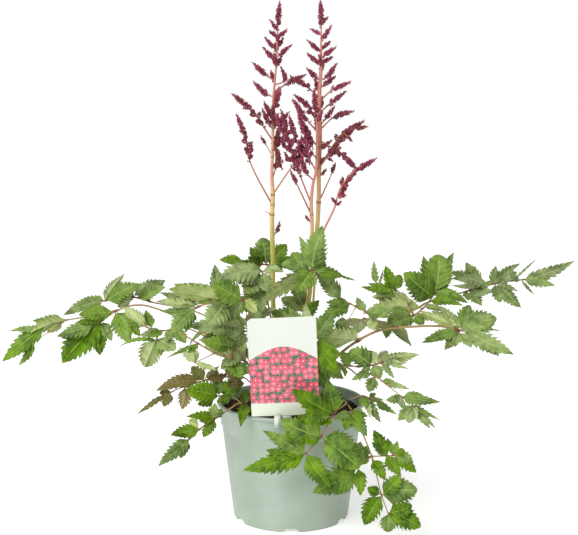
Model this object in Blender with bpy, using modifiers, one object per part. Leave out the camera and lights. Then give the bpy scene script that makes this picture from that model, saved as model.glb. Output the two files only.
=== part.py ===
"""Potted astilbe: a young garden perennial in its nursery pot, built at real size.

The origin is on the floor under the middle of the pot, +Z is up and the plant's front faces -Y.
The plan of leaves and flower stalks is in millimetres, because that is how a plant is measured by hand.
"""

from collections import namedtuple
from math import cos, pi, radians, sin

import bmesh
import bpy
from mathutils import Matrix, Vector

MM = 0.001
# Corners nearer than this, in metres, are one corner. Edges sharper than this angle stay sharp.
WELD = 0.00001
SHARP_ANGLE = 35.0

# Pot: a thin moulded nursery pot with a lip, a wider band and a tapering body.
POT_HEIGHT = 137.0
LIP_RADIUS = 86.5
LIP_HEIGHT = 3.4
LIP_EASE = 0.9
MOUTH_EASE = 0.4
BAND_TOP_RADIUS = 84.0
BAND_FOOT_RADIUS = 82.2
BAND_FOOT_Z = 110.5
SHOULDER_RADIUS = 80.2
SHOULDER_Z = 108.5
FOOT_RADIUS = 67.6
WALL = 1.6
FOOT_RING_HEIGHT = 5.0
FOOT_RING_WIDTH = 2.4
POT_SIDES = 36
DRAIN_NOTCHES = 6
DRAIN_NOTCH_WIDTH = 19.0
DRAIN_NOTCH_HEIGHT = 4.4
DRAIN_HOLES = 6
DRAIN_HOLE_RADIUS = 4.5
DRAIN_HOLE_CIRCLE = 44.0
DRAIN_HOLE_SIDES = 12
CUTTER_DEPTH = 12.0

# Potting soil fills the pot up to 12 mm under the rim.
SOIL_TOP = 125.0
FIT_GAP = 0.4

# The woody crown sits on the soil, and every petiole and flower stalk stands on it.
CROWN_RADIUS = 27.0
CROWN_TOP_RADIUS = 22.5
CROWN_TOP = 131.0
CROWN_SIDES = 20

# Plant label: a plastic card with a spike pushed into the soil and a small hook over the rim.
LABEL_WIDTH = 75.0
LABEL_HEIGHT = 113.0
LABEL_THICKNESS = 0.9
LABEL_CORNER = 4.5
CORNER_STEPS = 3
LABEL_FOOT = Vector((-6.0, -77.0, 139.6))
LABEL_LEAN_FORWARD = 6.5
LABEL_LEAN_LEFT = 2.4
SPIKE_WIDTH = 13.0
SPIKE_LENGTH = 62.0
SPIKE_OVERLAP = 2.0
SLOT_GAP = 1.2
HOOK_WIDTH = 7.0
HOOK_LEFT = -9.0
HOOK_DROP = 11.0
HOOK_THICKNESS = 1.2
HOOK_CLEARANCE = 2.0
ARM_HEIGHT = 0.5

# A leaflet is a plate, thicker than a real blade. Its foot, its widest part, the shoulder of a broad
# one and its tip are set by their shares of the length and by their widths.
BLADE_THICKNESS = 1.0
BROAD_BLADE = 22.0
SITTING_BLADE = 3.0
BLADE_FOOT_WIDTH = 1.4
WIDEST_SHARE = 0.38
SHOULDER_SHARE = 0.76
SHOULDER_WIDTH = 0.56
BLADE_TIP_WIDTH = 1.0

# Stalks stand straight for a moment on the crown and get thinner by a share of their radius.
STRAIGHT_FOOT = 3.0
STALK_TAPER = 0.4
SLIM_STALK = 1.35

# Radii of a side branch of the flower, of its ends and of a bare twig's end.
RACEME_STALK = 0.7
RACEME_END = 0.6
TWIG_END = 0.5
# Widest part as a share of the budded length, and the bare share that gets a corner of its own.
RACEME_WIDEST = 0.35
SHORT_BARE = 0.25

Leaf = namedtuple("Leaf", "stalks blades")
Stalk = namedtuple("Stalk", "radius route")
Blade = namedtuple("Blade", "base tip width faces arch")
Flower = namedtuple("Flower", "stem racemes")
Raceme = namedtuple("Raceme", "radius bare route")

# The way that a leaflet's upper side looks.
FRONT = (0.0, -0.94, 0.34)
FRONT_UP = (0.0, -0.72, 0.69)
UNDERSIDE = (0.0, 0.9, 0.44)
UP = (0.0, -0.2, 0.98)

# Leaves that show from the front, each from its foot on the crown or on a larger leaf stalk.
# A stalk is its radius and its route. A blade is its base, its tip, its width, the way its upper
# side looks and how far its middle arches off the straight line. A raceme is the radius of its
# buds, the share of its length that is bare, and its route.
LEAVES = {
    "leaf_far_left": Leaf(
        stalks=[
            Stalk(1.5, [
                (-19, -1, 131.4), (-55, -6, 178), (-105, -12, 222), (-166, -14, 251), (-183, -14, 251),
                (-201, -15, 245), (-231, -10, 238), (-259, -8, 233),
            ]),
            Stalk(0.9, [(-201, -15, 245), (-217, -20, 234)]),
        ],
        blades=[
            Blade((-259, -8, 233), (-330, -27, 189), 24, FRONT_UP, 3),
            Blade((-259, -7, 234), (-282, 0, 235), 5, FRONT_UP, 0),
            Blade((-217, -20, 234), (-258, -45, 192), 41, FRONT_UP, -3),
            Blade((-217, -20, 233), (-216, -40, 199), 21, FRONT_UP, 0),
            Blade((-201, -15, 243), (-182, -38, 214), 27, FRONT_UP, 0),
            Blade((-204, -15, 244), (-239, -34, 246), 18, FRONT_UP, 0),
        ],
    ),
    "leaf_left_upper": Leaf(
        stalks=[
            Stalk(1.3, [
                (-18, 5, 131.4), (-50, 22, 180), (-100, 38, 228), (-171, 44, 246), (-187, 42, 251),
                (-221, 34, 248),
            ]),
        ],
        blades=[
            Blade((-221, 34, 248), (-199, 46, 279), 13, UNDERSIDE, 3),
            Blade((-219, 34, 248), (-178, 28, 270), 20, FRONT_UP, 2),
            Blade((-222, 34, 248), (-265, 12, 235), 15, FRONT_UP, 3),
            Blade((-222, 34, 249), (-252, 46, 247), 11, FRONT_UP, 0),
            Blade((-187, 42, 253), (-153, 56, 269), 18, FRONT_UP, 0),
            Blade((-183, 43, 250), (-151, 34, 265), 12, FRONT_UP, 0),
            Blade((-188, 40, 249), (-205, 24, 245), 11, UNDERSIDE, 0),
        ],
    ),
    "leaf_left_inner": Leaf(
        stalks=[
            Stalk(1.2, [
                (-18.4, -5, 131.4), (-60, -20, 183), (-114, -32, 227), (-131, -32, 228),
                (-147, -30, 225), (-172, -26, 231),
            ]),
            Stalk(0.8, [(-147, -30, 225), (-153, -34, 215)]),
        ],
        blades=[
            Blade((-153, -34, 215), (-165, -48, 188), 27, UNDERSIDE, 0),
            Blade((-152, -34, 216), (-130, -50, 209), 19, FRONT_UP, 0),
            Blade((-153, -34, 215), (-194, -36, 209), 5, FRONT_UP, 4),
            Blade((-166, -27, 230), (-186, -22, 249), 16, UNDERSIDE, 0),
            Blade((-149, -30, 226), (-168, -44, 224), 10, UNDERSIDE, 0),
            Blade((-132, -32, 228), (-120, -48, 216), 12, FRONT_UP, 0),
        ],
    ),
    "leaf_left_middle": Leaf(
        stalks=[
            Stalk(1.4, [
                (-15.5, -11, 131.4), (-34, -34, 178), (-46, -62, 228), (-52, -84, 270),
                (-70, -90, 270), (-90, -94, 268), (-103, -96, 263),
            ]),
        ],
        blades=[
            Blade((-70, -90, 271), (-129, -118, 288), 25, UNDERSIDE, 4),
            Blade((-85, -92, 270), (-126, -72, 289), 14, FRONT_UP, 0),
            Blade((-54, -85, 271), (-82, -100, 288), 22, FRONT, 2),
            Blade((-71, -90, 269), (-88, -112, 250), 22, FRONT, 0),
            Blade((-103, -96, 262), (-128, -116, 240), 19, FRONT_UP, 0),
            Blade((-102, -96, 264), (-144, -100, 271), 10, UNDERSIDE, 2),
            Blade((-78, -91, 270), (-84, -74, 307), 14, FRONT, 0),
            Blade((-52, -84, 268), (-84, -98, 254), 17, FRONT, 0),
        ],
    ),
    "leaf_left_grey": Leaf(
        stalks=[
            Stalk(1.2, [(-7.5, -11.5, 131.4), (-20, -32, 152), (-34, -52, 184), (-48, -74, 235)]),
        ],
        blades=[
            Blade((-49, -75, 237), (-110, -100, 243), 18, FRONT, 3),
            Blade((-49, -75, 234), (-99, -92, 228), 17, FRONT, 0),
            Blade((-48, -74, 230), (-73, -84, 220), 12, FRONT, 0),
        ],
    ),
    "leaf_left_diagonal": Leaf(
        stalks=[
            Stalk(1.3, [
                (-12.7, -14, 131.4), (-24, -40, 143), (-48, -66, 195), (-64, -90, 208),
                (-81, -110, 217), (-98, -126, 231), (-117, -138, 246),
            ]),
            Stalk(0.7, [(-81, -110, 217), (-102, -120, 209)]),
        ],
        blades=[
            Blade((-64, -90, 209), (-99, -94, 230), 14, UNDERSIDE, 2),
            Blade((-49, -68, 198), (-78, -60, 225), 14, UNDERSIDE, 2),
            Blade((-102, -120, 209), (-120, -118, 226), 8, UNDERSIDE, 0),
            Blade((-101, -120, 209), (-108, -108, 222), 9, UNDERSIDE, 0),
            Blade((-101, -120, 208), (-77, -130, 204), 9, UNDERSIDE, 0),
            Blade((-99, -126, 230), (-129, -148, 221), 5, FRONT_UP, 2),
            Blade((-62, -82, 202), (-54, -94, 187), 16, FRONT, 0),
            Blade((-63, -82, 202), (-75, -92, 196), 9, FRONT, 0),
        ],
    ),
    "leaf_left_bronze": Leaf(
        stalks=[
            Stalk(1, [
                (-17, -8, 131.4), (-31, -22, 143), (-54, -46, 175), (-68, -56, 178), (-94, -68, 177),
                (-117, -76, 172), (-139, -84, 164),
            ]),
        ],
        blades=[
            Blade((-114, -75, 174), (-147, -82, 170), 15, FRONT_UP, 2),
            Blade((-96, -69, 177), (-111, -60, 190), 13, FRONT, 0),
            Blade((-93, -67, 178), (-72, -60, 181), 10, FRONT, 0),
            Blade((-139, -84, 164), (-167, -100, 147), 7, FRONT_UP, 2),
            Blade((-133, -82, 167), (-139, -92, 155), 9, FRONT_UP, 0),
            Blade((-117, -76, 171), (-119, -92, 150), 14, UNDERSIDE, 0),
        ],
    ),
    "leaf_left_low": Leaf(
        stalks=[
            Stalk(1.3, [
                (-9.5, -16.5, 131.4), (-20, -40, 137), (-47, -60, 144), (-57, -69, 151),
                (-69, -82, 147), (-81, -94, 142), (-99, -110, 133), (-109, -120, 125),
            ]),
            Stalk(0.8, [(-55, -66, 151), (-66, -66, 158), (-81, -72, 160)]),
        ],
        blades=[
            Blade((-81, -72, 160), (-114, -88, 171), 22, FRONT, 2),
            Blade((-80, -71, 161), (-80, -62, 176), 14, FRONT, 0),
            Blade((-73, -69, 160), (-61, -62, 176), 17, FRONT, 2),
            Blade((-67, -67, 158), (-82, -78, 155), 8, FRONT, 0),
            Blade((-50, -62, 148), (-51, -54, 163), 9, FRONT, 0),
            Blade((-48, -61, 147), (-55, -93, 132), 10, FRONT, 3),
            Blade((-86, -98, 140), (-112, -112, 149), 9, FRONT, 2),
            Blade((-89, -100, 139), (-81, -104, 158), 9, FRONT, 0),
            Blade((-99, -110, 133), (-128, -130, 133), 17, FRONT_UP, 0),
            Blade((-83, -95, 139), (-94, -118, 127), 12, FRONT_UP, 0),
            Blade((-109, -120, 125), (-140, -146, 105), 17, FRONT_UP, 0),
        ],
    ),
    "leaf_top_back": Leaf(
        stalks=[
            Stalk(1.3, [(-7, 12, 131.4), (-12, 22, 180), (-18, 28, 235), (-27, 28, 292)]),
            Stalk(0.8, [(-27, 28, 292), (-43, 22, 295), (-56, 18, 296)]),
        ],
        blades=[
            Blade((-29, 27, 293), (-34, 30, 324), 24, FRONT, 0),
            Blade((-26, 28, 292), (-6, 32, 316), 18, FRONT, 0),
            Blade((-36, 25, 294), (-47, 8, 304), 12, FRONT, 0),
            Blade((-56, 18, 296), (-82, 8, 302), 14, FRONT_UP, 2),
            Blade((-48, 20, 295), (-67, 4, 298), 9, FRONT_UP, 0),
        ],
    ),
    "leaf_left_top": Leaf(
        stalks=[
            Stalk(1.4, [(-8.5, -3, 131.4), (-14, -20, 185), (-22, -34, 235), (-32, -44, 295)]),
        ],
        blades=[
            Blade((-33, -44, 296), (-83, -70, 287), 23, FRONT_UP, 5),
            Blade((-35, -45, 294), (-48, -64, 275), 23, FRONT, 0),
            Blade((-31, -44, 296), (-10, -58, 297), 10, FRONT_UP, 2),
            Blade((-31, -45, 294), (-26, -64, 276), 13, FRONT, 0),
            Blade((-36, -41, 278), (-32, -66, 254), 16, FRONT, 0),
        ],
    ),
    "leaf_top_middle": Leaf(
        stalks=[
            Stalk(1.4, [(-2, -9, 131.4), (6, -26, 180), (14, -38, 230), (23, -52, 298)]),
        ],
        blades=[
            Blade((23, -52, 299), (34, -62, 348), 22, FRONT, 2),
            Blade((22, -53, 300), (9, -50, 336), 8, FRONT, 0),
            Blade((23, -53, 298), (7, -76, 277), 25, FRONT, 2),
            Blade((21, -52, 298), (-12, -42, 304), 20, FRONT_UP, 4),
            Blade((19, -51, 296), (-36, -84, 267), 18, UNDERSIDE, 4),
            Blade((25, -51, 298), (35, -36, 318), 13, FRONT, 0),
        ],
    ),
    "leaf_right": Leaf(
        stalks=[
            Stalk(2.1, [
                (17.5, -6, 131.4), (32, -14, 160), (48, -22, 188), (72, -34, 212), (96, -39, 226),
                (106, -41, 229), (137, -46, 233), (168, -50, 234), (187, -53, 230),
            ]),
        ],
        blades=[
            Blade((186, -53, 228), (143, -76, 220), 15, FRONT_UP, 2),
            Blade((186, -53, 227), (170, -78, 216), 12, FRONT_UP, 0),
            Blade((188, -54, 227), (197, -78, 217), 14, FRONT_UP, 0),
            Blade((189, -53, 232), (227, -62, 246), 29, FRONT, 2),
            Blade((195, -55, 230), (238, -92, 211), 23, FRONT, 3),
            Blade((191, -52, 233), (165, -34, 246), 11, UNDERSIDE, 2),
            Blade((199, -56, 231), (234, -62, 231), 4, FRONT, 2),
            Blade((190, -54, 230), (219, -76, 240), 12, FRONT_UP, 0),
        ],
    ),
    "leaf_right_upper": Leaf(
        stalks=[
            Stalk(1.2, [
                (108, -36, 232), (124, -28, 236), (140, -20, 241), (155, -11, 251), (166, -2, 264),
            ]),
            Stalk(0.8, [(140, -20, 241), (125, -6, 265), (98, 0, 275)]),
        ],
        blades=[
            Blade((166, -2, 265), (171, 2, 308), 32, FRONT, 2),
            Blade((164, -4, 259), (131, -24, 290), 28, FRONT, 2),
            Blade((161, -5, 258), (154, 16, 304), 15, FRONT, 0),
            Blade((169, 0, 266), (189, 14, 308), 12, FRONT, 0),
            Blade((167, -2, 264), (202, -18, 257), 13, FRONT_UP, 2),
            Blade((160, -7, 255), (194, -26, 255), 10, FRONT_UP, 2),
            Blade((150, -13, 248), (87, -16, 245), 22, UNDERSIDE, 12),
            Blade((139, -20, 242), (169, -30, 237), 9, UNDERSIDE, 2),
            Blade((139, -21, 240), (108, -50, 241), 21, FRONT, 2),
            Blade((123, -5, 266), (80, -8, 272), 12, FRONT_UP, 0),
            Blade((98, 0, 275), (96, 4, 301), 8, FRONT, 0),
            Blade((101, -1, 274), (106, 2, 291), 3, FRONT, 0),
            Blade((117, -4, 268), (109, 0, 295), 13, FRONT, 0),
        ],
    ),
    "leaf_far_right": Leaf(
        stalks=[
            Stalk(1.2, [
                (148, -3, 247), (156, 6, 250), (170, 18, 252), (204, 26, 260), (244, 31, 270),
                (276, 33, 274),
            ]),
        ],
        blades=[
            Blade((276, 33, 274), (335, 32, 297), 15, FRONT, -4),
            Blade((276, 33, 273), (310, 22, 269), 14, FRONT, 0),
            Blade((261, 32, 272), (293, 45, 298), 3, FRONT, 3),
            Blade((234, 30, 268), (274, 45, 290), 10, FRONT, 8),
            Blade((244, 31, 270), (264, 24, 284), 13, FRONT, 0),
            Blade((244, 31, 269), (267, 12, 245), 20, FRONT_UP, 0),
            Blade((247, 31, 269), (265, 14, 263), 5, FRONT, 0),
            Blade((211, 27, 261), (222, 8, 248), 18, FRONT_UP, 0),
            Blade((269, 32, 272), (258, 24, 280), 6, FRONT, 0),
            Blade((273, 33, 272), (286, 20, 258), 4, FRONT, 0),
            Blade((233, 30, 267), (187, 12, 280), 19, FRONT_UP, 3),
            Blade((222, 28, 265), (233, 16, 275), 6, FRONT_UP, 0),
        ],
    ),
    "leaf_top_right": Leaf(
        stalks=[
            Stalk(1, [(103, -41, 233), (94, -40, 240), (83, -38, 249), (69, -36, 256), (55, -34, 263)]),
            Stalk(0.6, [(73, -37, 252), (63, -46, 239)]),
        ],
        blades=[
            Blade((56, -34, 262), (27, -26, 293), 16, UNDERSIDE, 3),
            Blade((56, -34, 262), (73, -20, 281), 12, FRONT_UP, 3),
            Blade((66, -36, 256), (34, -52, 244), 15, FRONT_UP, 2),
            Blade((86, -39, 246), (108, -58, 247), 17, FRONT_UP, 2),
            Blade((63, -46, 239), (50, -56, 240), 7, FRONT, 0),
        ],
    ),
    "leaf_right_middle": Leaf(
        stalks=[
            Stalk(1.3, [(13.5, -12.5, 131.4), (22, -34, 160), (24, -58, 190), (23, -72, 221)]),
        ],
        blades=[
            Blade((24, -73, 222), (74, -92, 227), 28, UNDERSIDE, 2),
            Blade((25, -72, 220), (50, -80, 189), 21, FRONT, 2),
            Blade((24, -72, 223), (45, -62, 251), 24, FRONT, 0),
            Blade((22, -72, 223), (-3, -62, 259), 18, FRONT, 0),
            Blade((23, -72, 224), (16, -58, 262), 14, UNDERSIDE, 0),
        ],
    ),
    "leaf_right_lower": Leaf(
        stalks=[
            Stalk(1.2, [
                (18.5, -10, 131.4), (34, -26, 150), (55, -44, 187), (77, -54, 189), (96, -62, 194),
                (102, -65, 197),
            ]),
        ],
        blades=[
            Blade((102, -65, 198), (141, -82, 211), 17, UNDERSIDE, 2),
            Blade((96, -62, 194), (108, -52, 206), 12, FRONT, 0),
            Blade((101, -65, 196), (113, -82, 183), 8, FRONT, 0),
            Blade((104, -66, 198), (129, -84, 194), 5, FRONT, 0),
            Blade((89, -60, 192), (66, -50, 207), 18, FRONT, 0),
            Blade((75, -54, 190), (91, -42, 205), 11, FRONT, 0),
            Blade((91, -60, 192), (98, -72, 180), 11, FRONT, 0),
        ],
    ),
    "leaf_right_low": Leaf(
        stalks=[
            Stalk(0.9, [
                (79, -56, 186), (95, -72, 181), (101, -80, 178), (120, -98, 166), (131, -108, 159),
            ]),
        ],
        blades=[
            Blade((104, -82, 176), (129, -98, 174), 7, FRONT, 2),
            Blade((120, -98, 166), (102, -108, 166), 11, FRONT, 0),
            Blade((121, -98, 166), (158, -122, 167), 13, FRONT, 3),
            Blade((130, -108, 159), (117, -124, 147), 16, FRONT, 0),
            Blade((132, -108, 159), (156, -134, 151), 5, FRONT, 2),
            Blade((132, -108, 158), (148, -128, 139), 10, FRONT, 0),
            Blade((92, -69, 181), (85, -82, 168), 13, FRONT, 0),
        ],
    ),
    "leaf_front_left": Leaf(
        stalks=[
            Stalk(1.4, [
                (7, -17.6, 131.4), (24, -34, 138), (62, -52, 148), (48, -73, 141), (33, -95, 121),
                (16, -104, 104),
            ]),
        ],
        blades=[
            Blade((46, -76, 142), (2, -106, 176), 22, FRONT, 3),
            Blade((49, -72, 142), (40, -80, 180), 19, FRONT, 2),
            Blade((44, -80, 137), (32, -90, 134), 11, FRONT_UP, 0),
            Blade((33, -96, 121), (-11, -108, 143), 28, FRONT, 3),
            Blade((16, -104, 104), (-28, -114, 133), 17, FRONT, 2),
            Blade((15, -105, 103), (-52, -118, 90), 22, FRONT, 3),
            Blade((17, -104, 103), (43, -126, 75), 18, FRONT, 2),
            Blade((35, -96, 120), (72, -122, 94), 28, FRONT, 3),
        ],
    ),
    "leaf_front_right": Leaf(
        stalks=[
            Stalk(1, [
                (64, -54, 145), (68, -61, 140), (73, -72, 131), (80, -84, 118), (88, -98, 99),
                (94, -106, 76), (98, -112, 60), (105, -120, 42),
            ]),
            Stalk(0.8, [(88, -98, 99), (71, -104, 87)]),
            Stalk(0.8, [(88, -98, 99), (112, -104, 102)]),
        ],
        blades=[
            Blade((67, -62, 140), (85, -76, 138), 10, FRONT, 0),
            Blade((68, -64, 138), (82, -92, 121), 16, FRONT, 2),
            Blade((67, -65, 138), (53, -86, 138), 7, FRONT, 0),
            Blade((72, -104, 88), (75, -94, 115), 18, FRONT, 0),
            Blade((71, -104, 87), (24, -108, 62), 27, FRONT, 2),
            Blade((73, -104, 87), (75, -114, 60), 14, FRONT, 2),
            Blade((105, -102, 101), (91, -98, 129), 16, FRONT, 0),
            Blade((111, -103, 102), (104, -94, 119), 5, FRONT, 0),
            Blade((112, -104, 102), (135, -116, 87), 15, FRONT, 0),
            Blade((112, -104, 103), (115, -106, 119), 6, FRONT, 0),
            Blade((103, -102, 101), (117, -118, 85), 13, FRONT, 0),
            Blade((89, -99, 95), (101, -120, 80), 14, FRONT, 2),
            Blade((99, -112, 60), (136, -120, 69), 28, FRONT, 2),
            Blade((98, -112, 59), (78, -124, 30), 19, FRONT, 0),
            Blade((105, -120, 42), (139, -132, 32), 25, FRONT, 0),
            Blade((105, -120, 42), (104, -127, 24), 18, FRONT, 0),
        ],
    ),
    "leaf_front_side": Leaf(
        stalks=[
            Stalk(0.8, [(65, -53, 151), (80, -60, 157), (94, -68, 153)]),
        ],
        blades=[
            Blade((79, -60, 157), (85, -74, 149), 8, FRONT, 0),
            Blade((84, -62, 156), (99, -80, 132), 11, FRONT, 2),
            Blade((94, -68, 153), (117, -80, 141), 8, FRONT, 0),
            Blade((89, -65, 155), (103, -70, 159), 5, FRONT, 0),
        ],
    ),
}

FLOWERS = {
    "flower_stalk_left": Flower(
        stem=[
            ((-12, 9, 131.4), 2.9), ((-21, 10, 253), 2.9), ((-21, 11, 300), 2.9),
            ((-22, 12, 347), 2.8), ((-21, 12, 376), 2.4), ((-22, 12, 401), 2), ((-21, 12, 431), 1.8),
            ((-20, 12, 486), 1.45), ((-17, 12, 521), 1.1), ((-15, 12, 566), 0.8),
        ],
        racemes=[
            Raceme(4.3, 0, [(-15, 12, 564), (-14, 12, 579), (-13, 12, 592)]),
            Raceme(2.3, 0, [(-15, 12, 561), (-23, 8, 572)]),
            Raceme(2.5, 0, [(-15, 12, 554), (-24, 16, 561)]),
            Raceme(2.7, 0, [(-15, 12, 553), (-5, 8, 562)]),
            Raceme(2.5, 0, [(-15, 12, 549), (-15, 0, 556)]),
            Raceme(2.4, 0, [(-16, 12, 542), (-9, 22, 553)]),
            Raceme(2.6, 0.1, [(-16, 12, 539), (-29, 6, 553)]),
            Raceme(2.8, 0.1, [(-16, 12, 532), (0, 14, 545)]),
            Raceme(2.8, 0.1, [(-16, 12, 526), (-31, 18, 542)]),
            Raceme(2.7, 0.1, [(-17, 12, 520), (-19, -4, 535)]),
            Raceme(3.1, 0.3, [(-18, 12, 505), (-27, 9, 511), (-43, 6, 525)]),
            Raceme(2.7, 0.3, [(-18, 12, 501), (-7, 10, 506), (-11, 4, 520)]),
            Raceme(3.2, 0.2, [(-19, 12, 487), (-29, 16, 491), (-42, 20, 504)]),
            Raceme(3.1, 0.35, [(-19, 12, 493), (-5, 18, 502), (16, 24, 512)]),
            Raceme(3.1, 0.15, [(-20, 12, 470), (-16, 2, 484), (-12, -6, 497)]),
            Raceme(3.1, 0.15, [(-21, 12, 455), (-21, 0, 477)]),
            Raceme(3.3, 0.25, [(-21, 12, 438), (-29, 10, 450), (-40, 4, 467), (-49, 0, 476), (-65, -4, 490)]),
            Raceme(2, 0.5, [(-22, 12, 365), (-43, 6, 405), (-48, 4, 419), (-51, 2, 439), (-61, 0, 467)]),
            Raceme(1.9, 0.2, [(-48, 4, 419), (-44, -2, 436)]),
            Raceme(1.9, 0.6, [(-21, 12, 420), (-34, 18, 442)]),
            Raceme(3, 0.55, [(-21, 12, 376), (0, 6, 407), (7, 4, 416), (19, 2, 434)]),
            Raceme(2.2, 0.3, [(-21, 11, 327), (-16, 6, 335), (-13, 4, 345)]),
            Raceme(0.8, 1, [(-22, 12, 353), (-30, 8, 357)]),
            Raceme(2.8, 0.2, [(-18, 12, 500), (-23, 30, 517)]),
            Raceme(2.9, 0.2, [(-20, 12, 479), (-14, 32, 498)]),
            Raceme(2.6, 0.1, [(-16, 12, 535), (-18, 26, 548)]),
            Raceme(2.9, 0.3, [(-21, 12, 450), (-15, 32, 468)]),
            Raceme(2.7, 0.15, [(-17, 12, 520), (-11, 28, 533)]),
        ],
    ),
    "flower_stalk_tall": Flower(
        stem=[
            ((12, 10, 131.4), 3), ((21, 14, 253), 2.8), ((30, 15, 334), 2.7), ((32, 15, 370), 2.6),
            ((32, 15, 400), 2.6), ((33, 15, 448), 2.7), ((32, 15, 483), 2.6), ((34, 15, 521), 2),
            ((34, 15, 546), 1.2), ((34, 15, 566), 0.8),
        ],
        racemes=[
            Raceme(4.4, 0, [(34, 15, 564), (34, 15, 579), (33, 15, 594)]),
            Raceme(2, 0, [(34, 15, 568), (41, 12, 576)]),
            Raceme(2.8, 0, [(34, 15, 551), (39, 13, 557), (45, 10, 566)]),
            Raceme(2.5, 0, [(34, 15, 557), (23, 18, 563)]),
            Raceme(2.4, 0, [(34, 15, 541), (44, 20, 549)]),
            Raceme(2.8, 0.1, [(34, 15, 537), (19, 12, 550)]),
            Raceme(2.9, 0.1, [(34, 15, 531), (50, 10, 543)]),
            Raceme(2.9, 0.1, [(34, 15, 522), (19, 20, 536)]),
            Raceme(2.3, 0.1, [(34, 15, 525), (47, 22, 532)]),
            Raceme(2.6, 0.1, [(34, 15, 520), (32, 0, 534)]),
            Raceme(3.1, 0.15, [(34, 15, 506), (42, 12, 511), (51, 8, 524)]),
            Raceme(3.1, 0.15, [(33, 15, 505), (18, 8, 519)]),
            Raceme(2.9, 0.15, [(33, 15, 497), (50, 22, 510)]),
            Raceme(2.8, 0.4, [(32, 15, 481), (44, 13, 493), (67, 10, 504)]),
            Raceme(2.8, 0.3, [(32, 15, 469), (45, 17, 480), (62, 20, 493)]),
            Raceme(3.1, 0.35, [(32, 15, 486), (19, 7, 498), (0, -2, 510)]),
            Raceme(2.7, 0.3, [(33, 15, 454), (49, 4, 476)]),
            Raceme(2.7, 0.4, [(33, 15, 450), (50, 18, 465), (71, 22, 471)]),
            Raceme(2.5, 0.45, [(32, 15, 407), (45, 12, 427), (56, 10, 443), (69, 8, 452), (82, 6, 460)]),
            Raceme(2, 0.3, [(66, 8, 451), (86, 2, 454)]),
            Raceme(1.9, 0.3, [(60, 9, 447), (69, 4, 438)]),
            Raceme(1.7, 0.3, [(33, 15, 425), (41, 18, 434)]),
            Raceme(1.8, 0.3, [(32, 15, 407), (37, 4, 419)]),
            Raceme(1.8, 0.2, [(44, 12, 425), (54, 16, 423)]),
            Raceme(1.8, 0.2, [(40, 13, 419), (47, 8, 415)]),
            Raceme(1.8, 0.3, [(32, 15, 395), (40, 10, 405)]),
            Raceme(1.7, 0.75, [(32, 15, 367), (45, 20, 395), (51, 23, 411)]),
            Raceme(2.8, 0.15, [(33, 15, 513), (37, 30, 529)]),
            Raceme(3, 0.2, [(33, 15, 490), (28, 34, 507)]),
            Raceme(2.9, 0.2, [(32, 15, 468), (36, 36, 487)]),
            Raceme(2.7, 0.3, [(33, 15, 443), (28, 34, 461)]),
        ],
    ),
    "flower_stalk_middle": Flower(
        stem=[
            ((9, 1.5, 131.4), 2.5), ((16, -1, 255), 2.4), ((18, -2, 290), 2.3), ((24, -3, 336), 2.2),
            ((23, -3, 369), 2.1), ((25, -3, 389), 1.7), ((28, -3, 402), 1.6), ((29, -3, 464), 1.2),
        ],
        racemes=[
            Raceme(3.4, 0, [(29, -3, 462), (27, -4, 478), (26, -5, 495)]),
            Raceme(1.9, 0.3, [(23, -3, 367), (7, -6, 408), (-1, -8, 432), (-8, -9, 463), (-11, -10, 472)]),
            Raceme(1.2, 0.7, [(23, -3, 355), (6, -12, 391), (0, -15, 404)]),
            Raceme(1.7, 0.5, [(28, -3, 419), (12, -10, 443)]),
            Raceme(2.9, 0.15, [(28, -3, 461), (18, -8, 478), (4, -12, 489)]),
            Raceme(2.9, 0.25, [(28, -3, 450), (17, -8, 463), (2, -14, 484)]),
            Raceme(2.2, 0.2, [(29, -3, 457), (35, -12, 471)]),
            Raceme(2, 0.3, [(23, -3, 344), (17, 4, 352)]),
        ],
    ),
    "flower_stalk_right": Flower(
        stem=[
            ((17.5, 4, 131.4), 1.6), ((26, 5, 254), 1.5), ((33, 5, 323), 1.35), ((51, 4, 365), 1.2),
            ((55, 4, 381), 1), ((63, 3, 394), 0.9), ((72, 2, 404), 0.8),
        ],
        racemes=[
            Raceme(2.8, 0, [(71, 2, 403), (80, 1, 408), (96, -2, 418)]),
            Raceme(1.9, 0.1, [(52, 4, 366), (47, -2, 373)]),
            Raceme(1.9, 0.1, [(51, 4, 364), (57, 8, 368)]),
            Raceme(1.9, 0.1, [(54, 4, 376), (62, 0, 376)]),
            Raceme(1.9, 0.1, [(58, 4, 384), (59, 8, 396)]),
            Raceme(2, 0.1, [(62, 3, 392), (68, -3, 396)]),
            Raceme(1.9, 0.1, [(58, 4, 387), (64, -4, 388)]),
            Raceme(2.5, 0.2, [(74, 2, 405), (67, -2, 413), (60, -4, 422)]),
        ],
    ),
}

# Leaves at the back, laid out by rule: foot on the crown, main joint, heading in degrees and reach.
BACK_LEAVES = {
    "leaf_back_left": ((-16.0, 10.0, 131.4), (-62, 62, 222), 128, 88),
    "leaf_back_middle": ((-2.5, 19.0, 131.4), (-14, 76, 205), 98, 84),
    "leaf_back_right": ((16.5, 10.5, 131.4), (88, 50, 224), 38, 84),
    "leaf_back_low_left": ((-10.5, 16.5, 131.4), (-44, 76, 158), 116, 72),
    "leaf_back_low_right": ((6.5, 18.5, 131.4), (34, 78, 166), 66, 78),
}
BACK_STALK = 1.3
BACK_SIDE_STALK = 0.8
BACK_BEND_DROP = 12.0
# Turn between the three divisions of a back leaf and of the side leaflets off a division, in degrees.
BACK_TURN = 56.0
BACK_SIDE_TURN = 64.0
# Lengths and widths of a back leaf's pieces as shares of its reach.
SIDE_DIVISION = 0.8
END_LEAFLET_START = 0.45
SIDE_LEAFLET_START = 0.34
SIDE_LEAFLET_LENGTH = 0.4
END_LEAFLET_WIDTH = 0.3
SIDE_LEAFLET_WIDTH = 0.2


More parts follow.
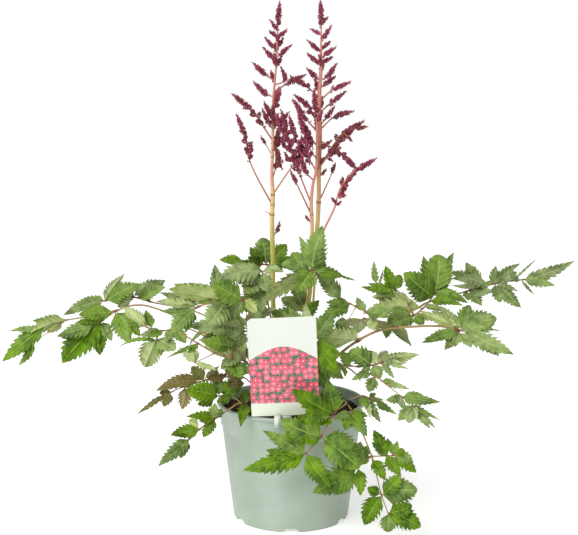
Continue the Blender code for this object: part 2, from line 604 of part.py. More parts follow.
def heading_vector(degrees, drop):
    """Unit vector that points along a heading on the plan and falls by drop."""
    return Vector((cos(radians(degrees)), sin(radians(degrees)), -drop)).normalized()


def back_leaf(foot, joint, heading, reach):
    """Three divisions fan out from the joint, each with an end leaflet and a pair of side leaflets."""
    foot = Vector(foot)
    joint = Vector(joint)
    bend = foot.lerp(joint, 0.6)
    bend.z = joint.z - BACK_BEND_DROP
    stalks = [Stalk(BACK_STALK, [tuple(foot), tuple(bend), tuple(joint)])]
    blades = []
    for turn, share in ((-BACK_TURN, SIDE_DIVISION), (0.0, 1.0), (BACK_TURN, SIDE_DIVISION)):
        outward = heading_vector(heading + turn, 0.25)
        span = reach * share
        end = joint + outward * (span * END_LEAFLET_START)
        tip = end + heading_vector(heading + turn, 0.75) * (span * (1.0 - END_LEAFLET_START))
        faces = tuple(Vector((outward.x, outward.y, 0.0)) * 0.6 + Vector((0.0, 0.0, 0.8)))
        stalks.append(Stalk(BACK_SIDE_STALK, [tuple(joint), tuple(end)]))
        blades.append(Blade(tuple(end), tuple(tip), reach * END_LEAFLET_WIDTH, faces, 3))
        for side in (-BACK_SIDE_TURN, BACK_SIDE_TURN):
            base = joint + outward * (span * SIDE_LEAFLET_START)
            side_tip = base + heading_vector(heading + turn + side, 0.5) * (span * SIDE_LEAFLET_LENGTH)
            blades.append(Blade(tuple(base), tuple(side_tip), reach * SIDE_LEAFLET_WIDTH, faces, 2))
    return Leaf(stalks, blades)


def collection(name):
    """Collection of that name, linked to the scene."""
    made = bpy.data.collections.new(name)
    bpy.context.scene.collection.children.link(made)
    return made


def clear_scene():
    """Start from an empty scene."""
    for old in list(bpy.data.objects):
        bpy.data.objects.remove(old, do_unlink=True)


def principled(name, colour, roughness, metallic=0.0):
    """Plain Principled material."""
    material = bpy.data.materials.new(name)
    material.use_nodes = True
    shader = material.node_tree.nodes["Principled BSDF"]
    shader.inputs["Base Color"].default_value = (*colour, 1.0)
    shader.inputs["Roughness"].default_value = roughness
    shader.inputs["Metallic"].default_value = metallic
    return material


def object_from_bmesh(name, shape, home):
    """Object that holds a finished bmesh."""
    mesh = bpy.data.meshes.new(name)
    shape.to_mesh(mesh)
    shape.free()
    made = bpy.data.objects.new(name, mesh)
    home.objects.link(made)
    return made


def evaluated_mesh(source):
    """Mesh of an object with its modifiers applied."""
    bpy.context.view_layer.update()
    graph = bpy.context.evaluated_depsgraph_get()
    return bpy.data.meshes.new_from_object(source.evaluated_get(graph))


def as_helper(made):
    """Keep a cutter or a guide out of renders."""
    made.hide_render = True
    made.display_type = "WIRE"
    return made


def boolean(target, tool, operation, solver="EXACT"):
    """Boolean modifier that joins or cuts with another object."""
    modifier = target.modifiers.new(operation.lower(), "BOOLEAN")
    modifier.operation = operation
    modifier.object = tool
    modifier.solver = solver


def finish(name, mesh, material):
    """Final object of a node, with its material and smooth sides."""
    mesh.name = name
    mesh.materials.clear()
    mesh.materials.append(material)
    mesh.shade_smooth()
    mesh.set_sharp_from_angle(angle=radians(SHARP_ANGLE))
    made = bpy.data.objects.new(name, mesh)
    PLANT.objects.link(made)
    return made


def joined(name, solids, material):
    """Union of overlapping solids as one closed body, also where many thin blades meet at one joint."""
    first = solids[0]
    for other in solids[1:]:
        boolean(first, other, "UNION", "MANIFOLD")
    mesh = evaluated_mesh(first)
    mesh.transform(first.matrix_world)
    for solid in solids:
        bpy.data.objects.remove(solid, do_unlink=True)
    return finish(name, mesh, material)


def tube(route, radii, sides):
    """Closed tube along a route in millimetres, with one radius for each point."""
    curve = bpy.data.curves.new("tube", "CURVE")
    curve.dimensions = "3D"
    curve.bevel_depth = 1.0
    curve.bevel_resolution = sides // 2 - 2
    curve.use_fill_caps = True
    line = curve.splines.new("POLY")
    line.points.add(len(route) - 1)
    for point, place, radius in zip(line.points, route, radii):
        point.co = (*(Vector(place) * MM), 1.0)
        point.radius = radius * MM
    guide = bpy.data.objects.new("tube_guide", curve)
    WORKSHOP.objects.link(guide)
    mesh = evaluated_mesh(guide)
    shape = bmesh.new()
    shape.from_mesh(mesh)
    bmesh.ops.remove_doubles(shape, verts=shape.verts, dist=WELD)
    solid = object_from_bmesh("tube", shape, WORKSHOP)
    solid.matrix_world = guide.matrix_world
    bpy.data.objects.remove(guide, do_unlink=True)
    return as_helper(solid)


def upright_foot(route):
    """A stem leaves the crown straight up, so that its cut foot stands flat."""
    foot = Vector(route[0])
    if foot.z > CROWN_TOP + 1.0:
        return list(route)
    return [foot, foot + Vector((0.0, 0.0, STRAIGHT_FOOT)), *route[1:]]


def blade_frame(blade):
    """Length axis, width axis and upper normal of a leaflet."""
    base = Vector(blade.base)
    along = (Vector(blade.tip) - base).normalized()
    look = Vector(blade.faces)
    normal = (look - along * look.dot(along)).normalized()
    return base, along, normal.cross(along), normal


def blade_solid(blade, foot):
    """Thin plate from its foot on the stalk over a narrow base and its widest part to a drawn tip."""
    base, along, across, normal = blade_frame(blade)
    length = (Vector(blade.tip) - base).length
    shares = [(WIDEST_SHARE, blade.width), (1.0, BLADE_TIP_WIDTH)]
    if blade.width >= BROAD_BLADE:
        shares.insert(1, (SHOULDER_SHARE, blade.width * SHOULDER_WIDTH))
    if (foot - base).length < SITTING_BLADE:
        shares.insert(0, (-0.03, BLADE_FOOT_WIDTH))
        base = foot
    else:
        shares.insert(0, (0.02, BLADE_FOOT_WIDTH))
    middles = []
    for share, width in shares:
        lift = blade.arch * 4.0 * share * (1.0 - share)
        middles.append((base + along * (share * length) + normal * lift, across, width))
    if base is not foot:
        reach = (base - foot).normalized()
        sideways = (normal - reach * normal.dot(reach)).cross(reach).normalized()
        if sideways.dot(across) < 0.0:
            sideways = -sideways
        middles.insert(0, (foot, (sideways + across * 0.3).normalized(), BLADE_FOOT_WIDTH))
    last = len(middles) - 1
    shape = bmesh.new()
    bmesh.ops.create_grid(shape, x_segments=last, y_segments=1, size=1.0)
    for corner in shape.verts:
        middle, sideways, width = middles[round((corner.co.x + 1.0) * last / 2.0)]
        side = 0.5 if corner.co.y > 0.0 else -0.5
        corner.co = (middle + sideways * (side * width)) * MM
    plate = object_from_bmesh("blade", shape, WORKSHOP)
    thick = plate.modifiers.new("thickness", "SOLIDIFY")
    thick.thickness = BLADE_THICKNESS * MM
    thick.offset = 0.0
    mesh = evaluated_mesh(plate)
    plate.modifiers.clear()
    plate.data = mesh
    return as_helper(plate)


def nearest_on(stalks, place):
    """Point of the leaf's stalks that is nearest to a place."""
    best = None
    for stalk in stalks:
        for start, end in zip(stalk.route, stalk.route[1:]):
            start = Vector(start)
            run = Vector(end) - start
            share = max(0.0, min(1.0, (place - start).dot(run) / run.length_squared))
            foot = start + run * share
            if best is None or (foot - place).length < (best - place).length:
                best = foot
    return best


def build_leaf(name, leaf, material):
    """Leaf stalks and leaflets, joined in one body: a side stalk starts on the main one."""
    solids = []
    for index, stalk in enumerate(leaf.stalks):
        route = upright_foot(stalk.route)
        if index > 0:
            route[0] = nearest_on(leaf.stalks[:1], Vector(route[0]))
        steps = max(1, len(route) - 1)
        radii = [stalk.radius * (1.0 - STALK_TAPER * i / steps) for i in range(len(route))]
        solids.append(tube(route, radii, 6 if stalk.radius > SLIM_STALK else 4))
    for blade in leaf.blades:
        solids.append(blade_solid(blade, nearest_on(leaf.stalks, Vector(blade.base))))
    return joined(name, solids, material)


def along_route(route, share):
    """Point at a share of a route's length."""
    places = [Vector(p) for p in route]
    lengths = [(b - a).length for a, b in zip(places, places[1:])]
    rest = share * sum(lengths)
    for start, end, length in zip(places, places[1:], lengths):
        if rest <= length:
            return start + (end - start) * (rest / length)
        rest -= length
    return places[-1]


def raceme_solid(raceme):
    """Slim spindle that holds the buds of one side branch."""
    bare = raceme.bare
    if bare >= 1.0:
        return tube([along_route(raceme.route, s) for s in (0.0, 1.0)], [raceme.radius, TWIG_END], 4)
    shares = [0.0, bare + (1.0 - bare) * RACEME_WIDEST, 1.0]
    radii = [RACEME_STALK, raceme.radius, RACEME_END]
    if bare > SHORT_BARE:
        shares.insert(1, bare)
        radii.insert(1, RACEME_STALK)
    return tube([along_route(raceme.route, s) for s in shares], radii, 4)


def build_flower(name, flower, material):
    """Flower stalk and its racemes, joined in one body."""
    route = [place for place, radius in flower.stem]
    radii = [radius for place, radius in flower.stem]
    route = upright_foot(route)
    radii = [radii[0]] * (len(route) - len(radii)) + radii
    solids = [tube(route, radii, 6)]
    solids += [raceme_solid(raceme) for raceme in flower.racemes]
    return joined(name, solids, material)


def turned(name, profile, sides):
    """Solid of revolution from a profile of radius and height in millimetres."""
    shape = bmesh.new()
    corners = [shape.verts.new((radius * MM, 0.0, height * MM)) for radius, height in profile]
    for start, end in zip(corners, corners[1:]):
        shape.edges.new((start, end))
    if profile[0][0] > 0.0:
        shape.edges.new((corners[-1], corners[0]))
    made = object_from_bmesh(name, shape, WORKSHOP)
    screw = made.modifiers.new("turn", "SCREW")
    screw.steps = sides
    screw.render_steps = sides
    screw.use_merge_vertices = True
    screw.merge_threshold = WELD
    return as_helper(made)


def cut_and_finish(name, body, cutters, material):
    """Cut a body with each cutter and keep the result."""
    for cutter in cutters:
        boolean(body, as_helper(cutter), "DIFFERENCE", "MANIFOLD")
    mesh = evaluated_mesh(body)
    bpy.data.objects.remove(body, do_unlink=True)
    for cutter in cutters:
        bpy.data.objects.remove(cutter, do_unlink=True)
    return finish(name, mesh, material)


def box(size, centre, turn=0.0):
    """Box in millimetres, turned about the vertical through the origin."""
    shape = bmesh.new()
    bmesh.ops.create_cube(shape, size=1.0)
    bmesh.ops.scale(shape, vec=Vector(size) * MM, verts=shape.verts)
    bmesh.ops.translate(shape, vec=Vector(centre) * MM, verts=shape.verts)
    bmesh.ops.rotate(shape, cent=(0, 0, 0), matrix=Matrix.Rotation(turn, 3, "Z"), verts=shape.verts)
    return object_from_bmesh("box", shape, WORKSHOP)


def rod(radius, height, centre, sides):
    """Upright cylinder in millimetres."""
    shape = bmesh.new()
    bmesh.ops.create_cone(
        shape,
        cap_ends=True,
        segments=sides,
        radius1=radius * MM,
        radius2=radius * MM,
        depth=height * MM,
    )
    bmesh.ops.translate(shape, vec=Vector(centre) * MM, verts=shape.verts)
    return object_from_bmesh("rod", shape, WORKSHOP)


def inner_wall(height):
    """Inner radius of the pot at a height."""
    if height >= BAND_FOOT_Z:
        share = (height - BAND_FOOT_Z) / (POT_HEIGHT - BAND_FOOT_Z)
        return BAND_FOOT_RADIUS + (BAND_TOP_RADIUS - BAND_FOOT_RADIUS) * share - WALL
    share = min(1.0, height / SHOULDER_Z)
    return FOOT_RADIUS + (SHOULDER_RADIUS - FOOT_RADIUS) * share - WALL


def build_pot():
    """Turned shell with a raised base, drain notches through the foot ring and drain holes."""
    floor = FOOT_RING_HEIGHT
    profile = [
        (inner_wall(POT_HEIGHT) + MOUTH_EASE, POT_HEIGHT),
        (LIP_RADIUS - LIP_EASE, POT_HEIGHT),
        (LIP_RADIUS, POT_HEIGHT - LIP_EASE),
        (LIP_RADIUS, POT_HEIGHT - LIP_HEIGHT),
        (BAND_TOP_RADIUS, POT_HEIGHT - LIP_HEIGHT),
        (BAND_FOOT_RADIUS, BAND_FOOT_Z),
        (SHOULDER_RADIUS, SHOULDER_Z),
        (FOOT_RADIUS, 0.0),
        (FOOT_RADIUS - FOOT_RING_WIDTH, 0.0),
        (FOOT_RADIUS - FOOT_RING_WIDTH, floor),
        (0.0, floor),
    ]
    inside = [
        (0.0, floor + WALL),
        (inner_wall(floor + WALL), floor + WALL),
        (inner_wall(SHOULDER_Z), SHOULDER_Z),
        (inner_wall(BAND_FOOT_Z), BAND_FOOT_Z),
        (inner_wall(POT_HEIGHT), POT_HEIGHT - MOUTH_EASE),
    ]
    shell = turned("pot_shell", [*inside, *profile], POT_SIDES)
    cutters = []
    for index in range(DRAIN_NOTCHES):
        turn = index * 2.0 * pi / DRAIN_NOTCHES - pi / 2.0
        middle = (FOOT_RADIUS, 0.0, 0.0)
        size = (CUTTER_DEPTH, DRAIN_NOTCH_WIDTH, DRAIN_NOTCH_HEIGHT * 2.0)
        cutters.append(box(size, middle, turn))
    for index in range(DRAIN_HOLES):
        turn = (index + 0.5) * 2.0 * pi / DRAIN_HOLES
        centre = (DRAIN_HOLE_CIRCLE * cos(turn), DRAIN_HOLE_CIRCLE * sin(turn), floor)
        cutters.append(rod(DRAIN_HOLE_RADIUS, CUTTER_DEPTH, centre, DRAIN_HOLE_SIDES))
    material = principled("pot_plastic", (0.43, 0.50, 0.44), 0.5)
    return cut_and_finish("pot", shell, cutters, material)


def label_frame():
    """Place and lean of the label, with X along its width and Z up its face."""
    lean = Matrix.Rotation(radians(LABEL_LEAN_FORWARD), 4, "X")
    tilt = Matrix.Rotation(radians(-LABEL_LEAN_LEFT), 4, "Y")
    return Matrix.Translation(LABEL_FOOT * MM) @ lean @ tilt


def build_soil():
    """Soil plug that fills the pot, with a slot for the label's spike."""
    base = FOOT_RING_HEIGHT + WALL + FIT_GAP
    profile = [
        (0.0, SOIL_TOP),
        (inner_wall(SOIL_TOP) - FIT_GAP, SOIL_TOP),
        (inner_wall(BAND_FOOT_Z) - FIT_GAP, BAND_FOOT_Z),
        (inner_wall(SHOULDER_Z) - FIT_GAP, SHOULDER_Z),
        (inner_wall(base) - FIT_GAP, base),
        (0.0, base),
    ]
    plug = turned("soil_plug", profile, POT_SIDES)
    slot_size = (SPIKE_WIDTH + SLOT_GAP, LABEL_THICKNESS + SLOT_GAP, (SPIKE_LENGTH + 1.0) * 2.0)
    slot = box(slot_size, (0.0, 0.0, 0.0))
    slot.matrix_world = label_frame()
    material = principled("potting_soil", (0.03, 0.015, 0.01), 0.95)
    return cut_and_finish("potting_soil", plug, [slot], material)


def build_crown():
    """Low woody mound that carries the stems."""
    shape = bmesh.new()
    bmesh.ops.create_cone(
        shape,
        cap_ends=True,
        segments=CROWN_SIDES,
        radius1=CROWN_RADIUS * MM,
        radius2=CROWN_TOP_RADIUS * MM,
        depth=(CROWN_TOP - SOIL_TOP - FIT_GAP) * MM,
    )
    middle = (CROWN_TOP + SOIL_TOP + FIT_GAP) / 2.0
    bmesh.ops.translate(shape, vec=(0.0, 0.0, middle * MM), verts=shape.verts)
    mound = object_from_bmesh("mound", shape, WORKSHOP)
    material = principled("woody_crown", (0.12, 0.05, 0.03), 0.85)
    return cut_and_finish("crown", mound, [], material)


def card_outline():
    """Outline of the card with round top corners."""
    half = LABEL_WIDTH / 2.0
    outline = [(-half, 0.0), (half, 0.0)]
    for centre_x, first in ((half - LABEL_CORNER, 0.0), (LABEL_CORNER - half, pi / 2.0)):
        for step in range(CORNER_STEPS + 1):
            turn = first + step * pi / 2.0 / CORNER_STEPS
            x = centre_x + LABEL_CORNER * cos(turn)
            outline.append((x, LABEL_HEIGHT - LABEL_CORNER + LABEL_CORNER * sin(turn)))
    return outline


def build_label():
    """Card, spike and hook in one moulding."""
    curve = bpy.data.curves.new("card", "CURVE")
    curve.dimensions = "2D"
    curve.fill_mode = "BOTH"
    curve.extrude = LABEL_THICKNESS / 2.0 * MM
    outline = card_outline()
    line = curve.splines.new("POLY")
    line.points.add(len(outline) - 1)
    for point, (x, y) in zip(line.points, outline):
        point.co = (x * MM, y * MM, 0.0, 1.0)
    line.use_cyclic_u = True
    guide = bpy.data.objects.new("card_guide", curve)
    WORKSHOP.objects.link(guide)
    shape = bmesh.new()
    shape.from_mesh(evaluated_mesh(guide))
    bpy.data.objects.remove(guide, do_unlink=True)
    bmesh.ops.remove_doubles(shape, verts=shape.verts, dist=WELD)
    bmesh.ops.recalc_face_normals(shape, faces=shape.faces)
    card = as_helper(object_from_bmesh("card", shape, WORKSHOP))
    card.matrix_world = label_frame() @ Matrix.Rotation(pi / 2.0, 4, "X")
    spike_size = (SPIKE_WIDTH, LABEL_THICKNESS * 0.9, SPIKE_LENGTH + SPIKE_OVERLAP * 2.0)
    spike = as_helper(box(spike_size, (0.0, 0.0, SPIKE_OVERLAP - SPIKE_LENGTH / 2.0)))
    spike.matrix_world = label_frame()
    reach = LIP_RADIUS + LABEL_FOOT.y + HOOK_CLEARANCE
    arm_size = (HOOK_WIDTH, reach + HOOK_THICKNESS, HOOK_THICKNESS)
    arm = as_helper(box(arm_size, (HOOK_LEFT, -reach / 2.0, ARM_HEIGHT)))
    arm.location = LABEL_FOOT * MM
    drop_size = (HOOK_WIDTH, HOOK_THICKNESS, HOOK_DROP)
    drop_top = ARM_HEIGHT + HOOK_THICKNESS / 2.0
    drop = as_helper(box(drop_size, (HOOK_LEFT, -reach, drop_top - HOOK_DROP / 2.0)))
    drop.location = LABEL_FOOT * MM
    material = principled("label_plastic", (0.9, 0.9, 0.87), 0.35)
    return joined("plant_label", [card, spike, arm, drop], material)


def build_plant():
    """Every leaf and flower stalk in its own body."""
    leaf_green = principled("leaf_green", (0.12, 0.30, 0.02), 0.45)
    for name, leaf in LEAVES.items():
        build_leaf(name, leaf, leaf_green)
    for name, layout in BACK_LEAVES.items():
        build_leaf(name, back_leaf(*layout), leaf_green)
    bud_red = principled("bud_red", (0.23, 0.04, 0.07), 0.6)
    for name, flower in FLOWERS.items():
        build_flower(name, flower, bud_red)


clear_scene()
PLANT = collection("potted_astilbe")
WORKSHOP = collection("workshop")
build_pot()
build_soil()
build_crown()
build_label()
build_plant()
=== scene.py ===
"""Potted astilbe: the looks of a young garden perennial in its nursery pot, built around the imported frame.

The plan of leaves and flower stalks is in millimetres, as a plant is measured by hand, and repeats the
plan that the frame was built from. Everything else here is in the frame's own metres and place.
"""

from collections import namedtuple
from math import cos, pi, radians, sin

import bmesh
import bpy
import numpy as np
from bpy.props import FloatProperty, FloatVectorProperty, IntProperty, PointerProperty
from mathutils import Matrix, Vector, noise


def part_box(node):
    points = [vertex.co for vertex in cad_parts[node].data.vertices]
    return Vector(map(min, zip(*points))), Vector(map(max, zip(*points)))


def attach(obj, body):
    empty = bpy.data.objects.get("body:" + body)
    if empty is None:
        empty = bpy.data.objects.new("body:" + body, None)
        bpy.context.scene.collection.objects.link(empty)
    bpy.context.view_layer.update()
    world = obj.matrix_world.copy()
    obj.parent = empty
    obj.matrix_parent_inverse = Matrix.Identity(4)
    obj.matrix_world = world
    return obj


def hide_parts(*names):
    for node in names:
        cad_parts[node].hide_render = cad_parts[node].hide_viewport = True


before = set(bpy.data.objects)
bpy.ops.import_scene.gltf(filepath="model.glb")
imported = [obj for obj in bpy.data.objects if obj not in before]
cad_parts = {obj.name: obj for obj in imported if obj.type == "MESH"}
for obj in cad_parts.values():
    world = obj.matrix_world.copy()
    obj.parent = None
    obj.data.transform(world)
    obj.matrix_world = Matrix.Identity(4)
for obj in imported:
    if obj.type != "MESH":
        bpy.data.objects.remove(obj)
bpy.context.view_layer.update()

bl_info = {
    "name": "Potted Astilbe",
    "version": (1, 0, 0),
    "blender": (4, 5, 0),
    "location": "View3D > Sidebar > Astilbe",
    "description": "Builds a potted astilbe with detailed leaves, flower buds, soil, label and pot",
    "category": "Object",
}

MM = 0.001
BODY = "root"

# The way that a leaflet's upper side looks.
FRONT = (0.0, -0.94, 0.34)
FRONT_UP = (0.0, -0.72, 0.69)
UNDERSIDE = (0.0, 0.9, 0.44)

Leaf = namedtuple("Leaf", "stalks blades")
Stalk = namedtuple("Stalk", "radius route")
Blade = namedtuple("Blade", "base tip width faces arch", defaults=(FRONT, 0))
Flower = namedtuple("Flower", "stem racemes")
Raceme = namedtuple("Raceme", "radius bare route")

